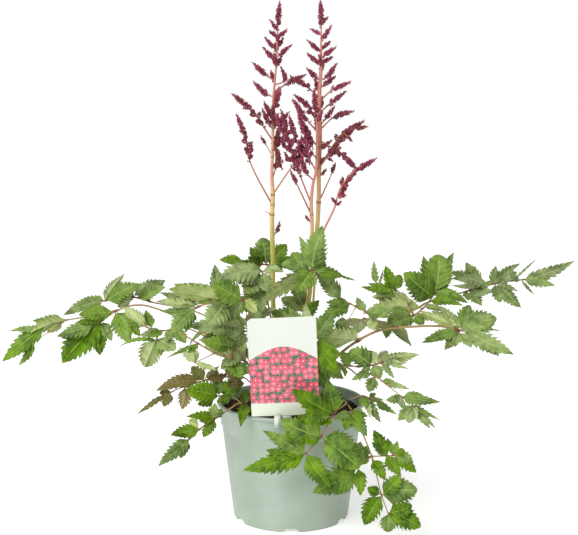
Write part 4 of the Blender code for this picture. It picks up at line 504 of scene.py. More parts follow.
FLOWERS = {
    "flower_stalk_left": Flower([
        ((-12, 9, 131.4), 2.9), ((-21, 10, 253), 2.9), ((-21, 11, 300), 2.9),
        ((-22, 12, 347), 2.8), ((-21, 12, 376), 2.4), ((-22, 12, 401), 2), ((-21, 12, 431), 1.8),
        ((-20, 12, 486), 1.45), ((-17, 12, 521), 1.1), ((-15, 12, 566), 0.8),
    ], [
        Raceme(4.3, 0, [(-15, 12, 564), (-14, 12, 579), (-13, 12, 592)]),
        Raceme(2.6, 0, [(-15, 12, 561), (-23, 8, 572)]),
        Raceme(2.6, 0, [(-15, 12, 554), (-24, 16, 561)]),
        Raceme(2.7, 0, [(-15, 12, 553), (-5, 8, 562)]),
        Raceme(2.6, 0, [(-15, 12, 549), (-15, 0, 556)]),
        Raceme(2.6, 0, [(-16, 12, 542), (-9, 22, 553)]),
        Raceme(2.6, 0.1, [(-16, 12, 539), (-29, 6, 553)]),
        Raceme(2.8, 0.1, [(-16, 12, 532), (0, 14, 545)]),
        Raceme(2.8, 0.1, [(-16, 12, 526), (-31, 18, 542)]),
        Raceme(2.7, 0.1, [(-17, 12, 520), (-19, -4, 535)]),
        Raceme(3.1, 0.3, [(-18, 12, 505), (-27, 9, 511), (-43, 6, 525)]),
        Raceme(2.7, 0.3, [(-18, 12, 501), (-7, 10, 506), (-11, 4, 520)]),
        Raceme(3.2, 0.2, [(-19, 12, 487), (-29, 16, 491), (-42, 20, 504)]),
        Raceme(3.1, 0.35, [(-19, 12, 493), (-5, 18, 502), (16, 24, 512)]),
        Raceme(3.1, 0.15, [(-20, 12, 470), (-16, 2, 484), (-12, -6, 497)]),
        Raceme(3.1, 0.15, [(-21, 12, 455), (-21, 0, 477)]),
        Raceme(3.3, 0.25, [(-21, 12, 438), (-29, 10, 450), (-40, 4, 467), (-49, 0, 476), (-65, -4, 490)]),
        Raceme(3, 0.5, [(-22, 12, 365), (-43, 6, 405), (-48, 4, 419), (-51, 2, 439), (-61, 0, 467)]),
        Raceme(3, 0.2, [(-48, 4, 419), (-44, -2, 436)]),
        Raceme(3, 0.6, [(-21, 12, 420), (-34, 18, 442)]),
        Raceme(3.1, 0.55, [(-21, 12, 376), (0, 6, 407), (7, 4, 416), (19, 2, 434)]),
        Raceme(2.6, 0.3, [(-21, 11, 327), (-16, 6, 335), (-13, 4, 345)]),
        Raceme(0.8, 1, [(-22, 12, 353), (-30, 8, 357)]),
        Raceme(2.8, 0.2, [(-18, 12, 500), (-23, 30, 517)]),
        Raceme(2.9, 0.2, [(-20, 12, 479), (-14, 32, 498)]),
        Raceme(2.6, 0.1, [(-16, 12, 535), (-18, 26, 548)]),
        Raceme(3.1, 0.3, [(-21, 12, 450), (-15, 32, 468)]),
        Raceme(2.7, 0.15, [(-17, 12, 520), (-11, 28, 533)]),
        Raceme(3.1, 0.15, [(-21, 12, 425), (-14, 18, 436), (-8, 22, 444)]),
        Raceme(3.1, 0.1, [(-21, 12, 450), (-11, 20, 461), (-3, 24, 469)]),
        Raceme(3.1, 0.3, [(-21, 12, 395), (-16, 16, 412), (-13, 20, 425)]),
        Raceme(2.8, 0.2, [(-21, 12, 461), (-26, 4, 473), (-30, -2, 481)]),
        Raceme(3.2, 0, [(-10, 4, 405), (-14, 7, 418), (-18, 9, 432)]),
        Raceme(3.1, 0.1, [(-22, 10, 427), (-16, 16, 441), (-14, 18, 454)]),
        Raceme(3, 0.1, [(-22, 8, 452), (-28, 6, 464), (-32, 4, 473)]),
    ]),
    "flower_stalk_tall": Flower([
        ((12, 10, 131.4), 3), ((21, 14, 253), 2.8), ((30, 15, 334), 2.7), ((32, 15, 370), 2.6),
        ((32, 15, 400), 2.6), ((33, 15, 448), 2.7), ((32, 15, 483), 2.6), ((34, 15, 521), 2),
        ((34, 15, 546), 1.2), ((34, 15, 566), 0.8),
    ], [
        Raceme(4.4, 0, [(34, 15, 564), (34, 15, 579), (33, 15, 594)]),
        Raceme(2.6, 0, [(34, 15, 568), (41, 12, 576)]),
        Raceme(2.8, 0, [(34, 15, 551), (39, 13, 557), (45, 10, 566)]),
        Raceme(2.6, 0, [(34, 15, 557), (23, 18, 563)]),
        Raceme(2.6, 0, [(34, 15, 541), (44, 20, 549)]),
        Raceme(2.8, 0.1, [(34, 15, 537), (19, 12, 550)]),
        Raceme(2.9, 0.1, [(34, 15, 531), (50, 10, 543)]),
        Raceme(2.9, 0.1, [(34, 15, 522), (19, 20, 536)]),
        Raceme(2.6, 0.1, [(34, 15, 525), (47, 22, 532)]),
        Raceme(2.6, 0.1, [(34, 15, 520), (32, 0, 534)]),
        Raceme(3.1, 0.15, [(34, 15, 506), (42, 12, 511), (51, 8, 524)]),
        Raceme(3.1, 0.15, [(33, 15, 505), (18, 8, 519)]),
        Raceme(2.9, 0.15, [(33, 15, 497), (50, 22, 510)]),
        Raceme(2.8, 0.4, [(32, 15, 481), (44, 13, 493), (67, 10, 504)]),
        Raceme(2.8, 0.3, [(32, 15, 469), (45, 17, 480), (62, 20, 493)]),
        Raceme(3.1, 0.35, [(32, 15, 486), (19, 7, 498), (0, -2, 510)]),
        Raceme(2.7, 0.3, [(33, 15, 454), (49, 4, 476)]),
        Raceme(3.2, 0.4, [(33, 15, 450), (50, 18, 465), (71, 22, 471)]),
        Raceme(3.2, 0.45, [(32, 15, 407), (45, 12, 427), (56, 10, 443), (69, 8, 452), (82, 6, 460)]),
        Raceme(3.2, 0.3, [(66, 8, 451), (86, 2, 454)]),
        Raceme(3.2, 0.3, [(60, 9, 447), (69, 4, 438)]),
        Raceme(3.2, 0.3, [(33, 15, 425), (41, 18, 434)]),
        Raceme(2.6, 0.3, [(32, 15, 407), (37, 4, 419)]),
        Raceme(3.2, 0.2, [(44, 12, 425), (54, 16, 423)]),
        Raceme(3.2, 0.2, [(40, 13, 419), (47, 8, 415)]),
        Raceme(3.2, 0.3, [(32, 15, 395), (40, 10, 405)]),
        Raceme(3.2, 0.75, [(32, 15, 367), (45, 20, 395), (51, 23, 411)]),
        Raceme(2.8, 0.15, [(33, 15, 513), (37, 30, 529)]),
        Raceme(3, 0.2, [(33, 15, 490), (28, 34, 507)]),
        Raceme(2.9, 0.2, [(32, 15, 468), (36, 36, 487)]),
        Raceme(2.7, 0.3, [(33, 15, 443), (28, 34, 461)]),
        Raceme(3.2, 0.35, [(32, 2, 407), (46, 8, 426), (57, 12, 440)]),
        Raceme(3.3, 0.05, [(46, 8, 426), (61, 12, 442), (73, 14, 452)]),
        Raceme(3.2, 0.2, [(35, 4, 437), (48, 8, 429), (62, 10, 419), (75, 12, 406)]),
        Raceme(3, 0.1, [(31, 2, 428), (39, 6, 433), (46, 8, 438)]),
    ]),
    "flower_stalk_middle": Flower([
        ((9, 1.5, 131.4), 2.5), ((16, -1, 255), 2.4), ((18, -2, 290), 2.3), ((24, -3, 336), 2.2),
        ((23, -3, 369), 2.1), ((25, -3, 389), 1.7), ((28, -3, 402), 1.6), ((29, -3, 464), 1.2),
    ], [
        Raceme(3.4, 0, [(29, -3, 462), (27, -4, 478), (26, -5, 495)]),
        Raceme(3.1, 0.3, [(23, -3, 367), (7, -6, 408), (-1, -8, 432), (-8, -9, 463), (-11, -10, 472)]),
        Raceme(2.6, 0.7, [(23, -3, 355), (6, -12, 391), (0, -15, 404)]),
        Raceme(3.1, 0.5, [(28, -3, 419), (12, -10, 443)]),
        Raceme(2.9, 0.15, [(28, -3, 461), (18, -8, 478), (4, -12, 489)]),
        Raceme(2.9, 0.25, [(28, -3, 450), (17, -8, 463), (2, -14, 484)]),
        Raceme(2.6, 0.2, [(29, -3, 457), (35, -12, 471)]),
        Raceme(2.6, 0.3, [(23, -3, 344), (17, 4, 352)]),
        Raceme(3.1, 0.3, [(26, -3, 393), (17, -8, 403), (11, -12, 419)]),
        Raceme(3.1, 0.2, [(28, -3, 405), (16, -2, 425), (9, 0, 438)]),
        Raceme(3.1, 0.2, [(28, -3, 434), (17, -8, 449), (10, -12, 463)]),
        Raceme(3.1, 0.25, [(0, -7, 427), (-7, -4, 432), (-11, -2, 441)]),
        Raceme(3.1, 0.2, [(4, -6, 415), (-2, -10, 417), (-7, -14, 425)]),
        Raceme(3.4, 0.1, [(11, -6, 403), (4, -8, 419), (-3, -9, 437), (-11, -9, 453), (-17, -8, 468)]),
        Raceme(3.3, 0.1, [(17, -8, 406), (10, -10, 428), (3, -12, 448), (-2, -12, 466)]),
        Raceme(3.3, 0.1, [(21, -6, 411), (18, -14, 433), (13, -16, 453), (8, -16, 475)]),
        Raceme(3, 0.1, [(25, -6, 428), (21, -8, 442), (17, -8, 455)]),
    ]),
    "flower_stalk_right": Flower([
        ((17.5, 4, 131.4), 1.6), ((26, 5, 254), 1.5), ((33, 5, 323), 1.35), ((51, 4, 365), 1.2),
        ((55, 4, 381), 1), ((63, 3, 394), 0.9), ((72, 2, 404), 0.8),
    ], [
        Raceme(3.2, 0, [(71, 2, 403), (80, 1, 408), (96, -2, 418)]),
        Raceme(3.2, 0.1, [(52, 4, 366), (47, -2, 373)]),
        Raceme(3.2, 0.1, [(51, 4, 364), (57, 8, 368)]),
        Raceme(3.2, 0.1, [(54, 4, 376), (62, 0, 376)]),
        Raceme(3.2, 0.1, [(58, 4, 384), (59, 8, 396)]),
        Raceme(3.2, 0.1, [(62, 3, 392), (68, -3, 396)]),
        Raceme(3.2, 0.1, [(58, 4, 387), (64, -4, 388)]),
        Raceme(3.2, 0.2, [(74, 2, 405), (67, -2, 413), (60, -4, 422)]),
        Raceme(3.6, 0, [(55, 12, 372), (60, 14, 381), (66, 14, 393)]),
        Raceme(3.2, 0, [(63, 14, 389), (69, 14, 397), (77, 14, 405)]),
    ]),
}

# Leaves at the back, laid out by rule: foot on the crown, main joint, heading in degrees and reach.
BACK_LEAVES = {
    "leaf_back_left": ((-16.0, 10.0, 131.4), (-62, 62, 222), 128, 88),
    "leaf_back_middle": ((-2.5, 19.0, 131.4), (-14, 76, 205), 98, 84),
    "leaf_back_right": ((16.5, 10.5, 131.4), (88, 50, 224), 38, 84),
    "leaf_back_low_left": ((-10.5, 16.5, 131.4), (-44, 76, 158), 116, 72),
    "leaf_back_low_right": ((6.5, 18.5, 131.4), (34, 78, 166), 66, 78),
}
BACK_TURN = 56.0

# How grey and pale the green of a leaf is: partly the leaf's own grey-green, partly painted sheen, set paler
# on leaves whose upper sides face up into the light. A leaf that isn't named here is set halfway.
DULLNESS_AND_SHEEN = {
    "leaf_left_grey": 0.95,
    "leaf_left_top": 0.85,
    "leaf_left_upper": 0.65,
    "leaf_far_left": 0.3,
    "leaf_left_middle": 0.45,
    "leaf_left_low": 0.3,
    "leaf_top_back": 0.15,
    "leaf_top_middle": 0.3,
    "leaf_right": 0.6,
    "leaf_right_upper": 0.3,
    "leaf_right_low": 0.75,
    "leaf_right_middle": 0.35,
    "leaf_far_right": 1.0,
    "leaf_front_left": 0.0,
    "leaf_front_right": 0.2,
}


def heading_vector(degrees, drop):
    """Unit vector that points along a heading on the plan and falls by drop."""
    return Vector((cos(radians(degrees)), sin(radians(degrees)), -drop)).normalized()


def back_leaf(foot, joint, heading, reach):
    """Three divisions fan out from the joint, each with an end leaflet and a pair of side leaflets."""
    foot = Vector(foot)
    joint = Vector(joint)
    rise = Vector((foot.x * 0.4 + joint.x * 0.6, foot.y * 0.4 + joint.y * 0.6, joint.z - 12.0))
    stalks = [Stalk(1.3, [tuple(foot), tuple(rise), tuple(joint)])]
    blades = []
    for turn, share in ((-BACK_TURN, 0.8), (0.0, 1.0), (BACK_TURN, 0.8)):
        outward = heading_vector(heading + turn, 0.25)
        end = joint + outward * (reach * share * 0.45)
        tip = end + heading_vector(heading + turn, 0.75) * (reach * share * 0.55)
        faces = tuple(Vector((outward.x, outward.y, 0.0)) * 0.6 + Vector((0.0, 0.0, 0.8)))
        stalks.append(Stalk(0.8, [tuple(joint), tuple(end)]))
        blades.append(Blade(tuple(end), tuple(tip), reach * 0.3, faces, 3))
        for side in (-64.0, 64.0):
            base = joint + outward * (reach * share * 0.34)
            side_tip = base + heading_vector(heading + turn + side, 0.5) * (reach * share * 0.4)
            blades.append(Blade(tuple(base), tuple(side_tip), reach * 0.2, faces, 2))
    return Leaf(stalks, blades)


class PotLook(bpy.types.PropertyGroup):
    """Sizes and colour of the nursery pot."""

    height: FloatProperty(
        name="Height", description="Rim above the floor", default=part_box("pot")[1].z, unit="LENGTH"
    )
    lip_radius: FloatProperty(
        name="Lip radius", description="Outer radius of the lip", default=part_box("pot")[1].x, unit="LENGTH"
    )
    plastic: FloatVectorProperty(
        name="Plastic", description="Colour of the plastic", default=(0.37, 0.435, 0.37), subtype="COLOR"
    )
    sides: IntProperty(name="Sides", description="Steps around the pot", default=144, min=48)


class FoliageLook(bpy.types.PropertyGroup):
    """How the leaflets are cut and folded."""

    tooth_pitch: FloatProperty(
        name="Tooth pitch", description="Distance between main teeth", default=0.0058, unit="LENGTH"
    )
    tooth_depth: FloatProperty(
        name="Tooth depth", description="Depth of a main tooth as a share of the half-width", default=0.44
    )
    thickness: FloatProperty(
        name="Thickness", description="Thickness of a blade", default=0.00035, unit="LENGTH"
    )
    quilting: FloatProperty(
        name="Quilting", description="Rise of the blade between veins", default=0.0005, unit="LENGTH"
    )
    fold: FloatProperty(name="Fold", description="Slope of each half off the midrib", default=0.26)


class FlowerLook(bpy.types.PropertyGroup):
    """Size of the flower buds."""

    bud_length: FloatProperty(
        name="Bud length", description="Length of one bud", default=0.0025, unit="LENGTH"
    )
    bud_width: FloatProperty(
        name="Bud width", description="Widest part of one bud", default=0.0022, unit="LENGTH"
    )
    spindle_girth: FloatProperty(
        name="Spindle girth", description="Thickness of the spindles of buds, as a share", default=1.6
    )


class LabelLook(bpy.types.PropertyGroup):
    """Size of the plant label's card."""

    width: FloatProperty(name="Width", description="Width of the card", default=0.075, unit="LENGTH")
    height: FloatProperty(name="Height", description="Height of the card", default=0.113, unit="LENGTH")


class StageLook(bpy.types.PropertyGroup):
    """Floor and soft studio light."""

    floor: FloatVectorProperty(
        name="Floor", description="Colour of the floor", default=(0.92, 0.92, 0.915), subtype="COLOR"
    )
    key_power: FloatProperty(
        name="Key light", description="Power of the large soft light", default=30.0, unit="POWER"
    )
    sun: FloatProperty(name="Skylight", description="Strength of the even light from above", default=1.0)
    sky: FloatProperty(name="Surroundings", description="Brightness of the white surroundings", default=0.43)
    glow: FloatProperty(name="Glow", description="Light that the lit floor gives off", default=0.45)


def unit(direction):
    """Direction with a length of one."""
    return direction / np.linalg.norm(direction)


class Draft:
    """Points, faces, finishes and marks of a piece while it is made, in millimetres.

    A mark is three numbers on each point, which the finishes read to place veins, joints and tints.
    """

    def __init__(self):
        self.points = []
        self.marks = []
        self.faces = []
        self.finishes = []
        self.count = 0

    def add(self, points, marks, faces, finish):
        """Add points with their marks, and faces that count from the first of these points."""
        self.points.append(np.asarray(points, float).reshape(-1, 3))
        self.marks.append(np.asarray(marks, float).reshape(-1, 3))
        self.faces += [tuple(self.count + corner for corner in face) for face in faces]
        self.finishes += [finish] * len(faces) if isinstance(finish, int) else list(finish)
        self.count += len(self.points[-1])

    def tube(self, line, radii, sides, marks, finish):
        """Closed tube along a line, with rings that don't twist."""
        run = np.gradient(line, axis=0)
        run /= np.linalg.norm(run, axis=1)[:, None]
        side = unit(np.cross(run[0], (0.31, 0.17, 0.94) if abs(run[0][2]) < 0.9 else (1.0, 0.0, 0.0)))
        turns = np.arange(sides) * 2.0 * pi / sides
        rings = []
        for centre, ahead, radius in zip(line, run, radii):
            side = unit(side - ahead * side.dot(ahead))
            up = np.cross(ahead, side)
            rings.append(centre + radius * (np.cos(turns)[:, None] * side + np.sin(turns)[:, None] * up))
        faces = []
        for ring in range(len(line) - 1):
            for corner in range(sides):
                first = ring * sides
                after = (corner + 1) % sides
                faces.append((first + corner, first + after, first + sides + after, first + sides + corner))
        last = (len(line) - 1) * sides
        faces.append(tuple(range(sides - 1, -1, -1)))
        faces.append(tuple(range(last, last + sides)))
        self.add(np.concatenate(rings), np.repeat(marks, sides, axis=0), faces, finish)

    def strip(self, line, widths, thickness):
        """Flat plastic strip along a line, with its width along X."""
        run = np.gradient(line, axis=0)
        run /= np.linalg.norm(run, axis=1)[:, None]
        rings = []
        for centre, ahead, width in zip(line, run, widths):
            side = np.array([1.0, 0.0, 0.0])
            off = unit(np.cross(ahead, side)) * thickness / 2.0
            wide = side * width / 2.0
            rings.append([centre - wide - off, centre + wide - off, centre + wide + off, centre - wide + off])
        faces = []
        for ring in range(len(line) - 1):
            for corner in range(4):
                first = ring * 4
                after = (corner + 1) % 4
                faces.append((first + corner, first + after, first + 4 + after, first + 4 + corner))
        last = (len(line) - 1) * 4
        faces.append((3, 2, 1, 0))
        faces.append((last, last + 1, last + 2, last + 3))
        self.add(np.concatenate(rings), np.zeros((len(line) * 4, 3)), faces, 0)

    def piece(self, name, materials, nodes):
        """Object in metres that rides on the body and stands for CAD nodes."""
        mesh = bpy.data.meshes.new(name)
        mesh.from_pydata(np.concatenate(self.points) * MM, [], self.faces)
        mesh.polygons.foreach_set("material_index", np.array(self.finishes, np.int32))
        mark = mesh.attributes.new("mark", "FLOAT_VECTOR", "POINT")
        mark.data.foreach_set("vector", np.concatenate(self.marks).astype(np.float32).ravel())
        for material in materials:
            mesh.materials.append(material)
        mesh.shade_smooth()
        mesh.update()
        return placed(name, mesh, nodes)


def placed(name, mesh, nodes):
    """Link a finished mesh as a piece of the object."""
    made = bpy.data.objects.new(name, mesh)
    bpy.context.scene.collection.objects.link(made)
    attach(made, BODY)
    if nodes:
        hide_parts(*nodes)
    return made


def smooth_line(route, spacing):
    """Smooth curve through the points of a route, with a point about every spacing."""
    places = [np.array(place, float) for place in route]
    runs = [after - before for before, after in zip(places, places[1:])]
    tangents = [unit(runs[0])]
    for before, after in zip(runs, runs[1:]):
        tangents.append(unit(unit(before) + unit(after)))
    tangents.append(unit(runs[-1]))
    line = []
    for start, run, leave, arrive in zip(places, runs, tangents, tangents[1:]):
        length = np.linalg.norm(run)
        steps = max(2, round(length / spacing))
        for share in np.arange(steps) / steps:
            along = share * share * (3.0 - 2.0 * share)
            out = share * (1.0 - share) ** 2 * length
            back = share * share * (share - 1.0) * length
            line.append(start + run * along + leave * out + arrive * back)
    line.append(places[-1])
    return np.array(line)


def blade_frame(blade):
    """Length axis, width axis and upper normal of a leaflet."""
    base = np.array(blade.base, float)
    along = unit(np.array(blade.tip, float) - base)
    look = np.array(blade.faces)
    normal = unit(look - along * look.dot(along))
    return base, along, np.cross(normal, along), normal


# Steps across half a leaflet, from the midrib to the margin, and the steps of one double tooth:
# notch, flank, small tooth, small notch, main tooth and its short far side. A side vein ends in each tip.
ACROSS = np.array([0.0, 0.09, 0.34, 0.62, 0.84, 1.0])
TOOTH_OUT = np.array([0.0, 0.28, 0.66, 0.5, 1.0, 0.4])
QUILT = np.array([0.5, 0.85, 1.0, 0.7, 0.0, 0.25])
TOOTH_STEPS = len(TOOTH_OUT)
TOP, UNDER, STALK = 0, 1, 2

# Share of the half-width that the midrib takes up, and how far leaflets of a leaf differ in dullness, which
# is partly painted sheen.
MIDRIB = 0.05
DULL_AND_SHEEN_SPREAD = 0.35


def leaf_width(share, taper):
    """Half-width of a leaflet at a share of its length: round base, and a tip drawn out by the taper."""
    base = 0.55
    widest = base / (base + taper)
    fullest = widest**base * (1.0 - widest) ** taper
    return share**base * np.clip(1.0 - share, 0.0, 1.0) ** taper / fullest


def leaflet(draft, blade, look, dull_and_sheen, chance):
    """Double-toothed, quilted leaflet whose rows of points run along its side veins."""
    base, along, across, normal = blade_frame(blade)
    length = np.linalg.norm(np.array(blade.tip, float) - base)
    half = blade.width / 2.0
    teeth = int(np.clip(round(length / (look.tooth_pitch / MM)), 4, 8))
    rows = teeth * TOOTH_STEPS
    step = np.arange(rows + 1)
    start = 0.997 * (1.0 - (1.0 - step / rows) ** 1.1)
    t = np.concatenate([-ACROSS[:0:-1], ACROSS])
    off = np.abs(t)
    skew = float(np.clip(half / length * 0.95, 0.08, 0.26))
    s = start[:, None] + skew * (1.0 - start[:, None]) * off[None, :] ** 1.25
    lopsided = chance.uniform(-0.14, 0.14)
    taper = float(np.clip(1.3 - 0.8 * half * 2.0 / length, 0.66, 1.1)) + chance.uniform(-0.08, 0.12)
    width = half * leaf_width(s, taper) * (1.0 + lopsided * np.sign(t)[None, :] * (1.0 - s))
    margin = np.clip((off - 0.32) / 0.68, 0.0, 1.0) ** 1.6
    ragged = np.repeat(chance.uniform(0.6, 1.4, (teeth + 1, 2)), TOOTH_STEPS, axis=0)[: rows + 1]
    ragged = np.where(t[None, :] < 0.0, ragged[:, :1], ragged[:, 1:])
    depth = (look.tooth_depth * width + 0.6) * np.clip(step / 2.0, 0.0, 1.0)[:, None] * (1.0 - s**3) * ragged
    cut = TOOTH_OUT[(step % TOOTH_STEPS)][:, None] * margin[None, :]
    out = t[None, :] * width + np.sign(t)[None, :] * depth * (cut - 0.5 * margin[None, :])
    bend = chance.uniform(-0.05, 0.05) * length
    ahead = s * length + depth * (cut - 0.3 * margin[None, :]) * 0.8
    fold = look.fold * chance.uniform(0.4, 1.5)
    curl = chance.uniform(0.15, 0.55)
    quilt = look.quilting / MM * min(1.0, half / 7.0)
    rise = fold * np.abs(out) - curl * off[None, :] ** 3 * width * 0.6
    rise += (
        quilt * QUILT[step % TOOTH_STEPS][:, None]
        * np.sin(pi * np.clip(off * 0.9 + 0.08, 0.0, 1.0))[None, :]
    )
    rise -= 0.5 * quilt * (off < MIDRIB)[None, :]
    rise += blade.arch * 4.0 * s * (1.0 - s)
    rise += (
        chance.uniform(0.2, 0.7) * off[None, :] ** 2
        * np.sin(s * chance.uniform(7.0, 12.0) + chance.uniform(0, 6))
    )
    rise -= chance.uniform(0.0, 0.07) * length * s**3
    place = base + along * ahead[..., None] + normal * rise[..., None]
    place = place + across * (out + bend * np.sin(pi * np.clip(s, 0.0, 1.0)))[..., None]
    thick = look.thickness / MM * (1.0 + 1.3 * (off < MIDRIB))
    below = place - normal * thick[None, :, None]
    # This leaflet's dullness: partly its own grey-green, partly painted sheen.
    tint = float(np.clip(dull_and_sheen + chance.uniform(-DULL_AND_SHEEN_SPREAD, DULL_AND_SHEEN_SPREAD), 0.0, 1.0))
    vein = (step / TOOTH_STEPS + 1.0 / 3.0)[:, None]
    marks = np.stack(np.broadcast_arrays(t[None, :], vein, tint), axis=-1)
    columns = len(t)
    index = np.arange((rows + 1) * columns).reshape(rows + 1, columns)
    under = index + index.size

    def quads(a, b, c, d):
        return np.stack([a, b, c, d], axis=-1).reshape(-1, 4)

    top = quads(index[:-1, :-1], index[1:, :-1], index[1:, 1:], index[:-1, 1:])
    low = quads(under[:-1, :-1], under[:-1, 1:], under[1:, 1:], under[1:, :-1])
    rim = [
        quads(index[:-1, -1], index[1:, -1], under[1:, -1], under[:-1, -1]),
        quads(index[:-1, 0], under[:-1, 0], under[1:, 0], index[1:, 0]),
        quads(index[0, :-1], index[0, 1:], under[0, 1:], under[0, :-1]),
        quads(index[-1, :-1], under[-1, :-1], under[-1, 1:], index[-1, 1:]),
    ]
    faces = np.concatenate([top, low, *rim])
    finish = [TOP] * len(top) + [UNDER] * len(low) + [TOP] * (len(faces) - len(top) - len(low))
    points = np.concatenate([place.reshape(-1, 3), below.reshape(-1, 3)])
    draft.add(points, np.concatenate([marks.reshape(-1, 3)] * 2), faces.tolist(), finish)


def nearest(lines, place):
    """Point of some lines that is nearest to a place."""
    every = np.concatenate(lines)
    return every[np.argmin(np.linalg.norm(every - place, axis=1))]


def swollen(line, joints, radii, swelling):
    """Radii with a swelling at each joint, and how near each point is to a joint."""
    near = np.zeros(len(line))
    for joint in joints:
        near = np.maximum(near, np.exp(-((np.linalg.norm(line - joint, axis=1) / 2.4) ** 2)))
    return radii * (1.0 + swelling * near), near


def build_leaf(name, leaf, look, materials, chance):
    """Leaf stalks with swollen joints, short leaflet stalks and leaflets, in one piece."""
    draft = Draft()
    lines = []
    for index, stalk in enumerate(leaf.stalks):
        route = [np.array(place, float) for place in stalk.route]
        if index > 0:
            route[0] = nearest(lines[:1], route[0])
        elif route[0][2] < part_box("crown")[1].z / MM + 1.0:
            route = [route[0] - (0.0, 0.0, 4.0), route[0] + (0.0, 0.0, 3.0), *route[1:]]
        lines.append(smooth_line(route, 2.2))
    feet = [nearest(lines, np.array(blade.base, float)) for blade in leaf.blades]
    joints = feet + [line[0] for line in lines[1:]]
    for stalk, line in zip(leaf.stalks, lines):
        share = np.linspace(0.0, 1.0, len(line))
        radii, near = swollen(line, joints, stalk.radius * (1.0 - 0.45 * share), 0.55)
        marks = np.stack([near, share, np.full(len(line), chance.uniform())], axis=1)
        draft.tube(line, radii, 8, marks, STALK)
    for blade, foot in zip(leaf.blades, feet):
        base, along, _, normal = blade_frame(blade)
        route = [foot, foot * 0.45 + base * 0.55 + normal * 0.4, base + along * 0.5, base + along * 3.0]
        if np.linalg.norm(foot - base) < 1.5:
            route = [foot, base + along * 1.5, base + along * 3.0]
        line = smooth_line(route, 1.2) - normal * 0.25
        share = np.linspace(0.0, 1.0, len(line))
        marks = np.stack([1.0 - share, share, np.full(len(line), 0.5)], axis=1)
        draft.tube(line, 0.62 - 0.27 * share, 6, marks, STALK)
        leaflet(draft, blade, look, DULLNESS_AND_SHEEN.get(name, 0.5), chance)
    draft.piece(name + "_living", materials, [name])


def bud_form():
    """One small ovoid bud of unit length and width, with its stalk end at the origin."""
    rings = ((0.24, 0.0), (0.5, 0.42), (0.16, 1.0))
    sides = 6
    turns = [side * 2.0 * pi / sides for side in range(sides)]
    points = [(r * cos(turn), r * sin(turn), z) for r, z in rings for turn in turns]
    faces = []
    for ring in range(len(rings) - 1):
        for corner in range(sides):
            first = ring * sides
            after = (corner + 1) % sides
            faces.append((first + corner, first + after, first + sides + after, first + sides + corner))
    faces.append(tuple(range(sides - 1, -1, -1)))
    faces.append(tuple(range((len(rings) - 1) * sides, len(rings) * sides)))
    return np.array(points), faces


GOLDEN_TURN = radians(137.5)
# Direction that no branch runs along, so that a side can be set square to both.
SLANT = (0.3, 0.5, 0.81)
BUD_POINTS, BUD_FACES = bud_form()
STEM, BRANCH, BUD = 0, 1, 2


def bud(draft, foot, reach, size, age, look, chance):
    """Bud with its foot at a place, along the unit vector reach."""
    side = unit(np.cross(reach, SLANT))
    turn = np.stack([side, np.cross(reach, side), reach])
    scale = size * np.array([look.bud_width, look.bud_width, look.bud_length]) / MM
    points = foot + (BUD_POINTS * scale) @ turn
    marks = np.stack(np.broadcast_arrays(chance.uniform(), age, BUD_POINTS[:, 2]), axis=1)
    draft.add(points, marks, BUD_FACES, BUD)


def cluster(draft, foot, reach, length, width, age, look, chance):
    """Egg-shaped cluster of buds on a short stalk, which points along the unit vector reach."""
    side = unit(np.cross(reach, SLANT))
    other = np.cross(reach, side)
    bead = look.bud_width / MM
    rows = max(2, round(length / (bead * 0.78)))
    turn = chance.uniform(0.0, 6.0)
    for row in range(rows):
        share = (row + 0.5) / rows
        girth = width / 2.0 * sin(pi * (0.12 + 0.8 * share)) ** 0.7
        around = max(1, round(2.0 * pi * max(0.0, girth - bead * 0.35) / (bead * 0.85)))
        for place in range(around):
            angle = turn + (place + 0.5 * row) * 2.0 * pi / around + chance.uniform(-0.2, 0.2)
            out = cos(angle) * side + sin(angle) * other
            lean = unit(out * (1.15 - share) + reach * (0.25 + share))
            size = chance.uniform(0.8, 1.15) * (1.0 - 0.22 * share)
            centre = foot + reach * length * (share - 0.12) + out * max(0.0, girth - bead * size * 0.75)
            bud(draft, centre, lean, size, age, look, chance)


def build_raceme(draft, raceme, look, chance, age):
    """Side branch whose clusters of buds close up to a dense spindle at its tip."""
    line = smooth_line(raceme.route, 0.8)
    steps = np.linalg.norm(np.diff(line, axis=0), axis=1)
    length = steps.sum()
    share = np.concatenate([[0.0], np.cumsum(steps)]) / length
    thin = min(1.0, 0.55 + 0.009 * length)
    marks = np.stack([np.full(len(line), age), share, np.full(len(line), 0.3)], axis=1)
    draft.tube(line, thin * (1.1 - 0.5 * share), 6, marks, BRANCH)
    if raceme.bare >= 1.0:
        return
    turn = chance.uniform(0.0, 6.0)
    reach = min(5.0, max(2.35, raceme.radius) * look.spindle_girth)
    spindle = min(length, 18.0)
    place = raceme.bare * length
    first = place
    end = length - reach * 0.45
    while place < end:
        left = end - place
        along = place / length
        centre = np.array([np.interp(along, share, line[:, axis]) for axis in range(3)])
        after = np.array([np.interp(min(1.0, along + 0.08), share, line[:, axis]) for axis in range(3)])
        ahead = unit(after - centre)
        full = np.clip(left / spindle, 0.0, 1.0)
        loose = np.clip((left - spindle) / 10.0, 0.0, 1.0)
        start = min(1.0, 0.5 + (place - first) / 6.0)
        girth = reach * min(start, 0.34 + 1.5 * full)
        girth = min(girth, reach)
        turn += GOLDEN_TURN
        side = unit(np.cross(ahead, SLANT))
        out = cos(turn) * side + sin(turn) * np.cross(ahead, side)
        lean = unit(out * (0.7 + 0.5 * loose) + ahead * (0.75 + (1.0 - full) * 1.3))
        cluster(
            draft,
            centre,
            lean,
            girth * (1.1 + 0.3 * loose),
            girth * (0.95 + 0.2 * loose),
            age,
            look,
            chance,
        )
        place += (1.1 + 0.6 * full) * (1.0 + 1.7 * loose)
    cluster(draft, line[-3], unit(line[-1] - line[-3]), reach * 0.6, reach * 0.42, age, look, chance)


